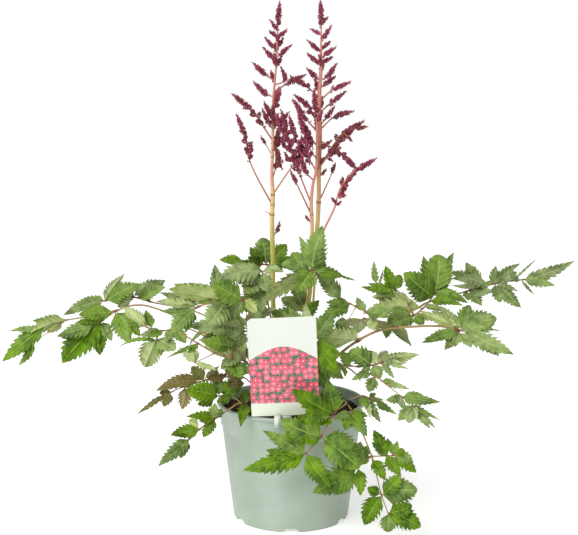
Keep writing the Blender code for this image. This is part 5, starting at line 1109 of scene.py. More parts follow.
def build_flower(name, flower, look, materials, chance):
    """Flower stalk with faint ridges, its side branches and their buds, in one piece."""
    draft = Draft()
    places = [np.array(place, float) for place, radius in flower.stem]
    radii = [radius for place, radius in flower.stem]
    places = [places[0] - (0.0, 0.0, 4.0), places[0] + (0.0, 0.0, 3.0), *places[1:]]
    radii = [radii[0] * 1.08, *radii]
    line = smooth_line(places, 3.0)
    heights = [place[2] for place in places]
    girth = np.interp(line[:, 2], heights, radii)
    joints = [np.array(raceme.route[0], float) for raceme in flower.racemes if raceme.bare > 0.4]
    girth, near = swollen(line, joints, girth, 0.2)
    share = (line[:, 2] - heights[0]) / (heights[-1] - heights[0])
    marks = np.stack([near, share, np.full(len(line), chance.uniform())], axis=1)
    draft.tube(line, girth, 10, marks, STEM)
    top = heights[-1]
    for raceme in flower.racemes:
        age = float(np.clip((top - raceme.route[-1][2]) / 150.0, 0.0, 1.0))
        build_raceme(draft, raceme, look, chance, age)
    draft.piece(name + "_living", materials, [name])


def linear(hexadecimal):
    """Linear colour with full alpha from an sRGB hex value."""
    parts = [int(hexadecimal[place : place + 2], 16) / 255.0 for place in (1, 3, 5)]
    return (*[p / 12.92 if p <= 0.04045 else ((p + 0.055) / 1.055) ** 2.4 for p in parts], 1.0)


def add(tree, kind, inputs=(), out=0, **settings):
    """Output of a new shader node with its settings, whose inputs get values or other nodes' outputs."""
    made = tree.nodes.new("ShaderNode" + kind)
    for name, value in settings.items():
        setattr(made, name, value)
    for socket, value in dict(inputs).items():
        if isinstance(value, bpy.types.NodeSocket):
            tree.links.new(value, made.inputs[socket])
        else:
            made.inputs[socket].default_value = value
    return made.outputs[out]


# Sockets of a colour mix: its factor, its two colours and its result. The inputs of a map range are 0 to 4:
# the value, the range that it is in, low and high, and the range that it is moved to.
FACTOR, A, B, MIXED = 0, 6, 7, 2
COLOUR = {"data_type": "RGBA"}


def new_material(name, **sockets):
    """Material with a Principled shader, and its node tree."""
    material = bpy.data.materials.new(name)
    material.use_nodes = True
    tree = material.node_tree
    shader = tree.nodes["Principled BSDF"]
    for socket, value in sockets.items():
        shader.inputs[socket.replace("_", " ")].default_value = value
    return material, tree, shader


def wire(tree, shader, **sockets):
    """Link results to the shader's inputs."""
    for socket, value in sockets.items():
        tree.links.new(value, shader.inputs[socket.replace("_", " ")])


def mark_parts(tree):
    """The three numbers of a point's mark."""
    mark = add(tree, "Attribute", out="Vector", attribute_name="mark")
    parts = add(tree, "SeparateXYZ", {"Vector": mark}).node.outputs
    return parts["X"], parts["Y"], parts["Z"]


def peak(tree, value, middle, reach):
    """One at the middle, falling to zero at reach on both sides."""
    off = add(tree, "Math", {0: value, 1: middle}, operation="SUBTRACT")
    size = add(tree, "Math", {0: off}, operation="ABSOLUTE")
    return add(tree, "MapRange", {0: size, 1: 0.0, 2: reach, 3: 1.0, 4: 0.0})


# Deep, light and vein colours of a blade's upper side and underside, each from a fresh leaf and from a
# greyer, paler leaf whose paleness is partly painted sheen.
TONES = {
    "living": (
        (("#305000", "#536736"), ("#688d05", "#97a76d"), ("#90ad30", "#b6c18c")),
        (("#8c9d52", "#8d9a67"), ("#b8c67c", "#b7c494"), ("#c8d194", "#c9d1aa")),
    ),
    "bronze": (
        (("#36400e", "#463f1c"), ("#646a25", "#786a3e"), ("#868442", "#95885a")),
        (("#6c6a3a", "#7a7050"), ("#918b58", "#9d9270"), ("#aaa575", "#b5aa86")),
    ),
}


def blade_side(name, colours, upper):
    """Living leaf: waxy and quilted above with pale sunken veins, matt and paler below with raised veins.
    Duller leaves are greyer and paler, partly as painted sheen.
    """
    material, tree, shader = new_material(name, Roughness=0.42 if upper else 0.62, IOR=1.45)
    spot = add(tree, "TexCoord", out="Object")
    across, vein, dull_and_sheen = mark_parts(tree)
    # Greyer, paler colours mixed in by dullness: partly the leaf's own tone, partly painted sheen.
    deep, light, rib = [
        add(tree, "Mix", {FACTOR: dull_and_sheen, A: linear(fresh), B: linear(grey)}, MIXED, **COLOUR)
        for fresh, grey in colours
    ]
    grain = add(tree, "TexNoise", {"Vector": spot, "Scale": 1.0 / (8.0 * MM), "Detail": 2.0})
    cloud = add(tree, "MapRange", {0: grain, 1: 0.34, 2: 0.66})
    grain = add(tree, "TexNoise", {"Vector": spot, "Scale": 1.0 / (34.0 * MM), "Detail": 1.0})
    drift = add(tree, "MapRange", {0: grain, 1: 0.36, 2: 0.64})
    shade = add(tree, "Math", {0: cloud, 1: drift}, operation="ADD")
    amount = add(tree, "MapRange", {0: shade, 1: 0.1, 2: 1.7})
    colour = add(tree, "Mix", {FACTOR: amount, A: deep, B: light}, MIXED, **COLOUR)
    part = add(tree, "Math", {0: vein, 1: 1.0}, operation="MODULO")
    middle = add(tree, "Math", {0: part, 1: 0.5}, operation="SUBTRACT")
    far = add(tree, "Math", {0: middle}, operation="ABSOLUTE")
    side_vein = add(tree, "MapRange", {0: far, 1: 0.43, 2: 0.49, 3: 0.0, 4: 0.3 if upper else 0.45})
    midrib = add(tree, "MapRange", {0: peak(tree, across, 0.0, 0.09), 1: 0.25, 2: 0.8, 3: 0.0, 4: 0.7})
    line = add(tree, "Math", {0: side_vein, 1: midrib}, operation="MAXIMUM")
    colour = add(tree, "Mix", {FACTOR: line, A: colour, B: rib}, MIXED, **COLOUR)
    grain = add(tree, "TexNoise", {"Vector": spot, "Scale": 1.0 / (0.9 * MM), "Detail": 2.0})
    net = add(tree, "MapRange", {0: grain, 1: 0.3, 2: 0.7})
    fleck = add(
        tree, "Mix", {FACTOR: net, A: (0.0, 0.0, 0.0, 1.0), B: (1.0, 1.0, 1.0, 1.0)}, MIXED, **COLOUR
    )
    colour = add(tree, "Mix", {FACTOR: 0.2, A: colour, B: fleck}, MIXED, blend_type="OVERLAY", **COLOUR)
    rough = add(
        tree, "MapRange", {0: net, 1: 0.0, 2: 1.0, 3: 0.34 if upper else 0.55, 4: 0.5 if upper else 0.72}
    )
    relief = add(tree, "Bump", {"Height": net, "Distance": 0.15 * MM, "Strength": 0.6})
    wire(tree, shader, Base_Color=colour, Normal=relief, Roughness=rough)
    shader.inputs["Specular IOR Level"].default_value = 0.22 if upper else 0.15
    return material


def petiole_skin():
    """Leaf stalk: juicy olive to pinkish tan skin with fine lengthwise lines and dark red-brown joints."""
    material, tree, shader = new_material("petiole_skin", Roughness=0.45, IOR=1.45)
    spot = add(tree, "TexCoord", out="Object")
    joint, share, _ = mark_parts(tree)
    grain = add(tree, "TexNoise", {"Vector": spot, "Scale": 1.0 / (14.0 * MM), "Detail": 2.0})
    patch = add(tree, "MapRange", {0: grain, 1: 0.38, 2: 0.62})
    colour = add(tree, "Mix", {FACTOR: patch, A: linear("#98964a"), B: linear("#a9855a")}, MIXED, **COLOUR)
    amount = add(tree, "MapRange", {0: share, 1: 0.3, 2: 1.0, 3: 0.0, 4: 0.5})
    colour = add(tree, "Mix", {FACTOR: amount, A: colour, B: linear("#93634a")}, MIXED, **COLOUR)
    amount = add(tree, "MapRange", {0: joint, 1: 0.3, 2: 1.0, 3: 0.0, 4: 0.9})
    colour = add(tree, "Mix", {FACTOR: amount, A: colour, B: linear("#71342a")}, MIXED, **COLOUR)
    drawn = add(tree, "Mapping", {"Vector": spot, "Scale": (1.0, 1.0, 0.12)})
    lines = add(tree, "TexNoise", {"Vector": drawn, "Scale": 1.0 / (0.5 * MM), "Detail": 2.0})
    relief = add(tree, "Bump", {"Height": lines, "Distance": 0.1 * MM, "Strength": 0.6})
    wire(tree, shader, Base_Color=colour, Normal=relief)
    return material


def stem_skin():
    """Flower stem: straw green below and salmon pink above, smooth with faint ridges and brown joints."""
    material, tree, shader = new_material("stem_skin", Roughness=0.42, IOR=1.45)
    spot = add(tree, "TexCoord", out="Object")
    joint, share, _ = mark_parts(tree)
    drawn = add(tree, "Mapping", {"Vector": spot, "Scale": (1.0, 1.0, 0.4)})
    grain = add(tree, "TexNoise", {"Vector": drawn, "Scale": 1.0 / (22.0 * MM), "Detail": 2.0})
    patch = add(tree, "MapRange", {0: grain, 1: 0.35, 2: 0.65, 3: -0.08, 4: 0.08})
    rise = add(tree, "Math", {0: share, 1: patch}, operation="ADD")
    amount = add(tree, "MapRange", {0: rise, 1: 0.36, 2: 0.5})
    colour = add(tree, "Mix", {FACTOR: amount, A: linear("#b9b352"), B: linear("#d9bf7e")}, MIXED, **COLOUR)
    amount = add(tree, "MapRange", {0: rise, 1: 0.5, 2: 0.72})
    colour = add(tree, "Mix", {FACTOR: amount, A: colour, B: linear("#c98873")}, MIXED, **COLOUR)
    amount = add(tree, "MapRange", {0: rise, 1: 0.0, 2: 0.12, 3: 1.0, 4: 0.0})
    colour = add(tree, "Mix", {FACTOR: amount, A: colour, B: linear("#97853c")}, MIXED, **COLOUR)
    amount = add(tree, "MapRange", {0: joint, 1: 0.4, 2: 1.0, 3: 0.0, 4: 0.85})
    colour = add(tree, "Mix", {FACTOR: amount, A: colour, B: linear("#8b4a3a")}, MIXED, **COLOUR)
    drawn = add(tree, "Mapping", {"Vector": spot, "Scale": (1.0, 1.0, 0.06)})
    lines = add(tree, "TexNoise", {"Vector": drawn, "Scale": 1.0 / (0.7 * MM), "Detail": 2.0})
    tone = add(tree, "Mix", {FACTOR: lines, A: linear("#3c3c3c"), B: linear("#d0d0d0")}, MIXED, **COLOUR)
    colour = add(tree, "Mix", {FACTOR: 0.22, A: colour, B: tone}, MIXED, blend_type="OVERLAY", **COLOUR)
    relief = add(tree, "Bump", {"Height": lines, "Distance": 0.2 * MM, "Strength": 0.6})
    wire(tree, shader, Base_Color=colour, Normal=relief)
    return material


def branch_skin():
    """Thin side branch of the flower: salmon pink, browner where it is older."""
    material, tree, shader = new_material("branch_skin", Roughness=0.5, IOR=1.45)
    spot = add(tree, "TexCoord", out="Object")
    age, _, _ = mark_parts(tree)
    colour = add(tree, "Mix", {FACTOR: age, A: linear("#b5626a"), B: linear("#b98b62")}, MIXED, **COLOUR)
    grain = add(tree, "TexNoise", {"Vector": spot, "Scale": 1.0 / (3.0 * MM), "Detail": 3.0})
    amount = add(tree, "MapRange", {0: grain, 1: 0.3, 2: 0.7, 3: 0.0, 4: 0.4})
    colour = add(tree, "Mix", {FACTOR: amount, A: colour, B: linear("#84443c")}, MIXED, **COLOUR)
    grain = add(tree, "TexNoise", {"Vector": spot, "Scale": 1.0 / (0.4 * MM), "Detail": 3.0})
    relief = add(tree, "Bump", {"Height": grain, "Distance": 0.1 * MM, "Strength": 1.0})
    wire(tree, shader, Base_Color=colour, Normal=relief)
    return material


def bud_skin():
    """Flower bud: dull raspberry with a darker tip, older buds brownish. No two have quite the same shade."""
    material, tree, shader = new_material("bud_skin", Roughness=0.55, IOR=1.4)
    spot = add(tree, "TexCoord", out="Object")
    tint, age, height = mark_parts(tree)
    colour = add(tree, "Mix", {FACTOR: tint, A: linear("#6d2438"), B: linear("#b04f67")}, MIXED, **COLOUR)
    amount = add(tree, "MapRange", {0: age, 1: 0.35, 2: 1.0, 3: 0.0, 4: 0.55})
    colour = add(tree, "Mix", {FACTOR: amount, A: colour, B: linear("#7a4438")}, MIXED, **COLOUR)
    amount = add(tree, "MapRange", {0: height, 1: 0.0, 2: 0.3, 3: 0.5, 4: 0.0})
    colour = add(tree, "Mix", {FACTOR: amount, A: colour, B: linear("#b06a66")}, MIXED, **COLOUR)
    amount = add(tree, "MapRange", {0: height, 1: 0.7, 2: 1.0, 3: 0.0, 4: 0.45})
    colour = add(tree, "Mix", {FACTOR: amount, A: colour, B: linear("#4d1a28")}, MIXED, **COLOUR)
    grain = add(tree, "TexNoise", {"Vector": spot, "Scale": 1.0 / (0.5 * MM), "Detail": 3.0})
    relief = add(tree, "Bump", {"Height": grain, "Distance": 0.1 * MM, "Strength": 1.0})
    wire(tree, shader, Base_Color=colour, Normal=relief)
    return material


def moulded_plastic(look):
    """Injection moulded polypropylene: soft matt skin with a faint grain, cloudy patches and light scuffs."""
    material, tree, shader = new_material("moulded_plastic", Roughness=0.5, IOR=1.49)
    spot = add(tree, "TexCoord", out="Object")
    base = (*look.plastic, 1.0)
    grain = add(tree, "TexNoise", {"Vector": spot, "Scale": 1.0 / (38.0 * MM), "Detail": 2.0})
    cloud = add(tree, "MapRange", {0: grain, 1: 0.35, 2: 0.65})
    tone = add(
        tree, "Mix", {FACTOR: 1.0, A: base, B: linear("#eff3ee")}, MIXED, blend_type="MULTIPLY", **COLOUR
    )
    colour = add(tree, "Mix", {FACTOR: cloud, A: base, B: tone}, MIXED, **COLOUR)
    drawn = add(tree, "Mapping", {"Vector": spot, "Scale": (1.0, 1.0, 0.25)})
    grain = add(tree, "TexNoise", {"Vector": drawn, "Scale": 1.0 / (5.0 * MM), "Detail": 4.0})
    streak = add(tree, "MapRange", {0: grain, 1: 0.62, 2: 0.75, 3: 0.0, 4: 0.14})
    colour = add(tree, "Mix", {FACTOR: streak, A: colour, B: linear("#dbe3da")}, MIXED, **COLOUR)
    height = add(tree, "SeparateXYZ", {"Vector": spot}, "Z")
    dust = add(tree, "MapRange", {0: height, 1: 0.0, 2: 0.03, 3: 0.22, 4: 0.0})
    colour = add(tree, "Mix", {FACTOR: dust, A: colour, B: linear("#8e9a83")}, MIXED, **COLOUR)
    grain = add(tree, "TexNoise", {"Vector": spot, "Scale": 1.0 / (12.0 * MM), "Detail": 3.0})
    rough = add(tree, "MapRange", {0: grain, 1: 0.3, 2: 0.7, 3: 0.42, 4: 0.58})
    skin = add(tree, "TexNoise", {"Vector": spot, "Scale": 1.0 / (0.35 * MM), "Detail": 2.0})
    relief = add(tree, "Bump", {"Height": skin, "Distance": 0.03 * MM, "Strength": 0.5})
    wire(tree, shader, Base_Color=colour, Roughness=rough, Normal=relief)
    return material


def peat():
    """Damp peat mix: nearly black brown, matt and crumbly, with lighter fibres."""
    material, tree, shader = new_material("peat", Roughness=0.92)
    spot = add(tree, "TexCoord", out="Object")
    grain = add(tree, "TexNoise", {"Vector": spot, "Scale": 1.0 / (1.6 * MM), "Detail": 6.0})
    fine = add(tree, "MapRange", {0: grain, 1: 0.35, 2: 0.7})
    colour = add(tree, "Mix", {FACTOR: fine, A: linear("#1a0d0a"), B: linear("#44291f")}, MIXED, **COLOUR)
    drawn = add(tree, "Mapping", {"Vector": spot, "Scale": (1.0, 0.25, 1.0)})
    grain = add(tree, "TexNoise", {"Vector": drawn, "Scale": 1.0 / (1.2 * MM), "Detail": 4.0})
    fibre = add(tree, "MapRange", {0: grain, 1: 0.66, 2: 0.72})
    colour = add(tree, "Mix", {FACTOR: fibre, A: colour, B: linear("#7a5a45")}, MIXED, **COLOUR)
    relief = add(tree, "Bump", {"Height": fine, "Distance": 0.8 * MM, "Strength": 1.0})
    wire(tree, shader, Base_Color=colour, Normal=relief)
    return material


def rootstock():
    """Woody crown: rough, dark red-brown scales."""
    material, tree, shader = new_material("rootstock", Roughness=0.8)
    spot = add(tree, "TexCoord", out="Object")
    drawn = add(tree, "Mapping", {"Vector": spot, "Scale": (1.0, 1.0, 0.4)})
    grain = add(tree, "TexNoise", {"Vector": drawn, "Scale": 1.0 / (2.4 * MM), "Detail": 5.0})
    scale = add(tree, "MapRange", {0: grain, 1: 0.3, 2: 0.7})
    colour = add(tree, "Mix", {FACTOR: scale, A: linear("#2e1712"), B: linear("#7d4a35")}, MIXED, **COLOUR)
    relief = add(tree, "Bump", {"Height": scale, "Distance": 0.9 * MM, "Strength": 1.0})
    wire(tree, shader, Base_Color=colour, Normal=relief)
    return material


def printed_card():
    """Printed plastic card: white, with a rounded field of pink daisies on dark green over a pale band.

    The print is smooth and slightly glossy, on a plastic that is white at its edges.
    """
    material, tree, shader = new_material("printed_card", Roughness=0.3, IOR=1.5)
    across, height, front = mark_parts(tree)
    white = linear("#d6dbd2")
    place = add(tree, "CombineXYZ", {"X": across, "Y": height})
    cells = add(
        tree, "TexVoronoi", {"Vector": place, "Scale": 0.145, "Randomness": 0.55}, voronoi_dimensions="2D"
    )
    petal = add(tree, "MapRange", {0: cells, 1: 0.43, 2: 0.56, 3: 1.0, 4: 0.0})
    heart = add(tree, "MapRange", {0: cells, 1: 0.08, 2: 0.16, 3: 1.0, 4: 0.0})
    blade = add(tree, "TexNoise", {"Vector": place, "Scale": 0.5, "Detail": 3.0}, "Fac")
    amount = add(tree, "MapRange", {0: blade, 1: 0.4, 2: 0.65})
    field = add(tree, "Mix", {FACTOR: amount, A: linear("#27463a"), B: linear("#6f9a78")}, MIXED, **COLOUR)
    pink = add(
        tree,
        "Mix",
        {FACTOR: cells.node.outputs["Color"], A: linear("#d23f5f"), B: linear("#e5758d")},
        MIXED,
        **COLOUR,
    )
    field = add(tree, "Mix", {FACTOR: petal, A: field, B: pink}, MIXED, **COLOUR)
    field = add(tree, "Mix", {FACTOR: heart, A: field, B: linear("#f0c9a8")}, MIXED, **COLOUR)
    wave = add(tree, "Math", {0: across, 1: 0.045}, operation="MULTIPLY")
    crest = add(tree, "Math", {0: wave}, operation="COSINE")
    top = add(tree, "Math", {0: crest, 1: 14.0, 2: 66.0}, operation="MULTIPLY_ADD")
    under_top = add(tree, "Math", {0: height, 1: top}, operation="LESS_THAN")
    over_foot = add(tree, "Math", {0: height, 1: 15.0}, operation="GREATER_THAN")
    window = add(tree, "Math", {0: under_top, 1: over_foot}, operation="MULTIPLY")
    amount = add(tree, "MapRange", {0: height, 1: 14.0, 2: 15.0, 3: 1.0, 4: 0.0})
    colour = add(tree, "Mix", {FACTOR: amount, A: white, B: linear("#dfe6d3")}, MIXED, **COLOUR)
    colour = add(tree, "Mix", {FACTOR: window, A: colour, B: field}, MIXED, **COLOUR)
    wire(tree, shader, Base_Color=add(tree, "Mix", {FACTOR: front, A: white, B: colour}, MIXED, **COLOUR))
    return material


def paper_floor(look):
    """Seamless studio paper: even, matt and nearly white."""
    material, tree, shader = new_material("paper_floor", Roughness=0.9, Emission_Strength=look.glow)
    spot = add(tree, "TexCoord", out="Object")
    shader.inputs["Emission Color"].default_value = (1.0, 1.0, 1.0, 1.0)
    base = (*look.floor, 1.0)
    grain = add(tree, "TexNoise", {"Vector": spot, "Scale": 1.0 / (3.0 * MM), "Detail": 3.0})
    fibre = add(tree, "MapRange", {0: grain, 1: 0.3, 2: 0.7})
    tone = add(tree, "Mix", {FACTOR: 0.02, A: base, B: linear("#a0a0a0")}, MIXED, **COLOUR)
    colour = add(tree, "Mix", {FACTOR: fibre, A: base, B: tone}, MIXED, **COLOUR)
    wire(tree, shader, Base_Color=colour)
    return material


def built(name, shape, material):
    """Object in the scene from a bmesh."""
    mesh = bpy.data.meshes.new(name)
    shape.to_mesh(mesh)
    shape.free()
    if material:
        mesh.materials.append(material)
    made = bpy.data.objects.new(name, mesh)
    bpy.context.scene.collection.objects.link(made)
    return made


def arc(centre, radius, first, last, steps):
    """Points of an arc in the radius and height plane, in millimetres and degrees."""
    turns = np.radians(np.linspace(first, last, steps + 1))
    return [(centre[0] + radius * cos(turn), centre[1] + radius * sin(turn)) for turn in turns]


# Pot, in millimetres: the same moulding as the frame's, with its real rounded edges.
POT_HEIGHT = 137.0
LIP_RADIUS = 86.5
BAND_TOP_RADIUS = 84.0
BAND_FOOT_RADIUS = 82.2
BAND_FOOT_Z = 110.5
SHOULDER_RADIUS = 80.6
SHOULDER_Z = 108.6
FOOT_RADIUS = 67.6
WALL = 1.6
LIP_HEIGHT = 3.4
FOOT_RING_HEIGHT = 5.0
DRAIN_NOTCHES = 6
DRAIN_HOLES = 6
DRAIN_HOLE_RADIUS = 4.5
DRAIN_HOLE_CIRCLE = 44.0
POT_SHARP_ANGLE = 38.0

# Potting soil and crown. The soil keeps a small gap to the pot's wall.
SOIL_TOP = 125.0
SOIL_GAP = 0.4
CRUMBS = 420
CROWN_STUBS = 46


def wall_radius(height):
    """Outer radius of the pot's wall at a height."""
    if height >= BAND_FOOT_Z:
        return np.interp(height, (BAND_FOOT_Z, POT_HEIGHT), (BAND_FOOT_RADIUS, BAND_TOP_RADIUS))
    return np.interp(height, (0.0, SHOULDER_Z), (FOOT_RADIUS, SHOULDER_RADIUS))


def pot_profile(height, lip):
    """Outline of the wall's section, from the inner floor over the rolled lip down to the foot ring."""
    inside = [(0.0, FOOT_RING_HEIGHT + WALL)]
    inside += arc((wall_radius(6.6) - WALL - 2.5, FOOT_RING_HEIGHT + WALL + 2.5), 2.5, -90.0, 0.0, 4)
    inside += [(wall_radius(z) - WALL, z) for z in (SHOULDER_Z - 1.0, BAND_FOOT_Z, height - 2.0)]
    rim = arc((wall_radius(height) - WALL + 0.8, height - 0.8), 0.8, 180.0, 90.0, 3)
    rim += arc((lip - 1.3, height - 1.3), 1.3, 90.0, 0.0, 5)
    rim += arc((lip - 0.5, height - LIP_HEIGHT + 0.5), 0.5, 0.0, -90.0, 3)
    rim += [(wall_radius(height - LIP_HEIGHT) + 0.35, height - LIP_HEIGHT)]
    rim += [(wall_radius(height - LIP_HEIGHT - 0.5), height - LIP_HEIGHT - 0.5)]
    band = [(wall_radius(z), z) for z in (124.0, BAND_FOOT_Z + 0.7)]
    band += arc((BAND_FOOT_RADIUS - 0.6, BAND_FOOT_Z + 0.6), 0.6, 0.0, -80.0, 3)
    taper = [(wall_radius(z), z) for z in (SHOULDER_Z + 0.4, SHOULDER_Z - 0.8, 80.0, 40.0, 12.0)]
    foot = [
        (FOOT_RADIUS + 0.1, 0.9),
        (FOOT_RADIUS - 0.4, 0.0),
        (FOOT_RADIUS - 2.1, 0.0),
        (FOOT_RADIUS - 2.4, 0.4),
    ]
    under = [
        (FOOT_RADIUS - 2.4, FOOT_RING_HEIGHT - 0.4),
        (FOOT_RADIUS - 3.0, FOOT_RING_HEIGHT),
        (0.0, FOOT_RING_HEIGHT),
    ]
    return inside + rim + band + taper + foot + under


def turned(name, profile, sides, material):
    """Solid of revolution from a profile in millimetres that starts and ends on the axis."""
    shape = bmesh.new()
    corners = [shape.verts.new((radius * MM, 0.0, height * MM)) for radius, height in profile]
    for start, end in zip(corners, corners[1:]):
        shape.edges.new((start, end))
    whole = shape.verts[:] + shape.edges[:]
    bmesh.ops.spin(
        shape, geom=whole, cent=(0, 0, 0), axis=(0, 0, 1), angle=2 * pi, steps=sides, use_duplicate=False
    )
    bmesh.ops.remove_doubles(shape, verts=shape.verts, dist=0.000005)
    bmesh.ops.recalc_face_normals(shape, faces=shape.faces)
    return built(name, shape, material)


def cut_away(target, cutters):
    """Cut a body and remove the cutters."""
    for cutter in cutters:
        modifier = target.modifiers.new("cut", "BOOLEAN")
        modifier.operation = "DIFFERENCE"
        modifier.object = cutter
    bpy.context.view_layer.update()
    graph = bpy.context.evaluated_depsgraph_get()
    mesh = bpy.data.meshes.new_from_object(target.evaluated_get(graph))
    target.modifiers.clear()
    target.data = mesh
    for cutter in cutters:
        bpy.data.objects.remove(cutter, do_unlink=True)


def arch_cutter(turn):
    """Block with a low arched top that cuts one drain notch through the foot ring."""
    outline = [
        (-10.2, -2.0),
        (10.2, -2.0),
        (9.4, 0.0),
        (7.4, 3.4),
        (5.6, 4.5),
        (-5.6, 4.5),
        (-7.4, 3.4),
        (-9.4, 0.0),
    ]
    shape = bmesh.new()
    corners = [shape.verts.new(((FOOT_RADIUS - 6.0) * MM, x * MM, z * MM)) for x, z in outline]
    face = shape.faces.new(corners)
    made = bmesh.ops.extrude_face_region(shape, geom=[face])
    moved = [corner for corner in made["geom"] if isinstance(corner, bmesh.types.BMVert)]
    bmesh.ops.translate(shape, vec=(12.0 * MM, 0.0, 0.0), verts=moved)
    bmesh.ops.recalc_face_normals(shape, faces=shape.faces)
    bmesh.ops.rotate(shape, cent=(0, 0, 0), matrix=Matrix.Rotation(turn, 3, "Z"), verts=shape.verts)
    return built("arch_cutter", shape, None)


def drain_cutter(turn):
    """Rod that cuts one drain hole through the base."""
    shape = bmesh.new()
    bmesh.ops.create_cone(
        shape,
        cap_ends=True,
        segments=24,
        radius1=DRAIN_HOLE_RADIUS * MM,
        radius2=DRAIN_HOLE_RADIUS * MM,
        depth=12.0 * MM,
    )
    circle = DRAIN_HOLE_CIRCLE
    place = (circle * cos(turn) * MM, circle * sin(turn) * MM, FOOT_RING_HEIGHT * MM)
    bmesh.ops.translate(shape, vec=place, verts=shape.verts)
    return built("drain_cutter", shape, None)


class ASTILBE_OT_pot(bpy.types.Operator):
    """Build the nursery pot"""

    bl_idname = "astilbe.pot"
    bl_label = "Build Pot"

    def execute(self, context):
        look = context.scene.astilbe_pot
        profile = pot_profile(look.height / MM, look.lip_radius / MM)
        pot = turned("pot_moulding", profile, look.sides, moulded_plastic(look))
        step = 2.0 * pi / DRAIN_NOTCHES
        cut_away(pot, [arch_cutter(index * step - pi / 2.0) for index in range(DRAIN_NOTCHES)])
        cut_away(pot, [drain_cutter((index + 0.5) * 2.0 * pi / DRAIN_HOLES) for index in range(DRAIN_HOLES)])
        pot.data.shade_smooth()
        pot.data.set_sharp_from_angle(angle=radians(POT_SHARP_ANGLE))
        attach(pot, BODY)
        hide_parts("pot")
        return {"FINISHED"}


def rough_height(x, y, size, millimetres):
    """Height of crumbly ground at a place in millimetres."""
    return millimetres * noise.fractal(Vector((x / size, y / size, 3.7)), 1.0, 2.0, 4)


class ASTILBE_OT_soil(bpy.types.Operator):
    """Build the potting soil and its loose crumbs"""

    bl_idname = "astilbe.soil"
    bl_label = "Build Soil"

    def execute(self, context):
        chance = np.random.default_rng(11)
        base = FOOT_RING_HEIGHT + WALL + SOIL_GAP
        edge = wall_radius(SOIL_TOP) - WALL - SOIL_GAP
        radii = list(np.linspace(0.0, edge, 40))
        profile = [(radius, SOIL_TOP) for radius in radii]
        profile += [(wall_radius(z) - WALL - SOIL_GAP, z) for z in (BAND_FOOT_Z, SHOULDER_Z, 60.0, base)]
        profile.append((0.0, base))
        soil = turned("soil_plug", profile, 120, peat())
        for corner in soil.data.vertices:
            if corner.co.z > (SOIL_TOP - 0.5) * MM:
                x, y = corner.co.x / MM, corner.co.y / MM
                corner.co.z += (rough_height(x, y, 9.0, 1.8) + rough_height(x, y, 2.2, 1.0) - 0.4) * MM
        soil.data.shade_smooth()
        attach(soil, BODY)
        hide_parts("potting_soil")
        draft = Draft()
        crumb = bmesh.new()
        bmesh.ops.create_icosphere(crumb, subdivisions=2, radius=1.0)
        form = np.array([corner.co[:] for corner in crumb.verts])
        faces = [tuple(corner.index for corner in face.verts) for face in crumb.faces]
        crumb.free()
        for _ in range(CRUMBS):
            radius = edge * chance.uniform(0.1, 0.985) ** 0.5
            turn = chance.uniform(0.0, 2.0 * pi)
            size = chance.uniform(0.7, 2.6) * (1.0 if chance.uniform() > 0.08 else 1.6)
            stretch = chance.uniform(0.55, 1.35, 3)
            lumps = 1.0 + 0.28 * np.sin(form @ chance.uniform(-4.0, 4.0, (3, 3))).sum(axis=1)[:, None] / 1.7
            place = np.array([radius * cos(turn), radius * sin(turn), SOIL_TOP + size * 0.25])
            place[:2] *= min(1.0, (edge - size * 1.5) / radius)
            points = place + form * lumps * stretch * size
            draft.add(points, np.zeros_like(points), faces, 0)
        draft.piece("soil_crumbs", [peat()], [])
        return {"FINISHED"}


class ASTILBE_OT_crown(bpy.types.Operator):
    """Build the woody crown with its old stubs and scales"""

    bl_idname = "astilbe.crown"
    bl_label = "Build Crown"

    def execute(self, context):
        chance = np.random.default_rng(5)
        low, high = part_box("crown")
        radius = high.x / MM
        draft = Draft()
        rings = 14
        sides = 56
        points = []
        for ring in range(rings + 1):
            share = ring / rings
            for side in range(sides):
                turn = side * 2.0 * pi / sides
                reach = radius * sin(share * pi / 2.0) ** 0.8
                x, y = reach * cos(turn), reach * sin(turn)
                z = low.z / MM + (high.z - low.z) / MM * cos(share * pi / 2.0) ** 0.45
                lump = rough_height(x, y, 5.0, 1.3)
                swell = 1.0 + 0.05 * noise.noise(Vector((x / 6.0, y / 6.0, 0.0)))
                points.append((x * swell, y * swell, max(low.z / MM, z + lump * (1.0 - share))))
        faces = []
        for ring in range(rings):
            for side in range(sides):
                first = ring * sides
                after = (side + 1) % sides
                faces.append((first + side, first + sides + side, first + sides + after, first + after))
        faces.append(tuple(range(rings * sides + sides - 1, rings * sides - 1, -1)))
        faces.append(tuple(range(sides)))
        draft.add(points, np.zeros((len(points), 3)), faces, 0)
        for _ in range(CROWN_STUBS):
            turn = chance.uniform(0.0, 2.0 * pi)
            reach = radius * chance.uniform(0.2, 0.92)
            foot = np.array([reach * cos(turn), reach * sin(turn), high.z / MM - 2.5])
            lean = np.array([cos(turn) * 0.5, sin(turn) * 0.5, 1.0]) + chance.uniform(-0.3, 0.3, 3)
            tall = chance.uniform(3.0, 8.0)
            line = foot + unit(lean) * np.linspace(0.0, tall, 5)[:, None]
            thick = chance.uniform(0.7, 1.6) * np.array([1.0, 1.1, 0.9, 0.55, 0.15])
            draft.tube(line, thick, 7, np.zeros((5, 3)), 0)
        draft.piece("woody_crown", [rootstock()], ["crown"])
        return {"FINISHED"}


# Label, in millimetres and degrees, as the frame has it.
LABEL_FOOT = Vector((-6.0, -77.0, 139.6))
LABEL_LEAN_FORWARD = 6.5
LABEL_LEAN_LEFT = 2.4
LABEL_THICKNESS = 0.9
LABEL_CORNER = 4.5
SPIKE_WIDTH = 13.0
SPIKE_LENGTH = 65.0
HOOK_LEFT = -9.0
HOOK_WIDTH = 7.0
CARD_SHARP_ANGLE = 40.0


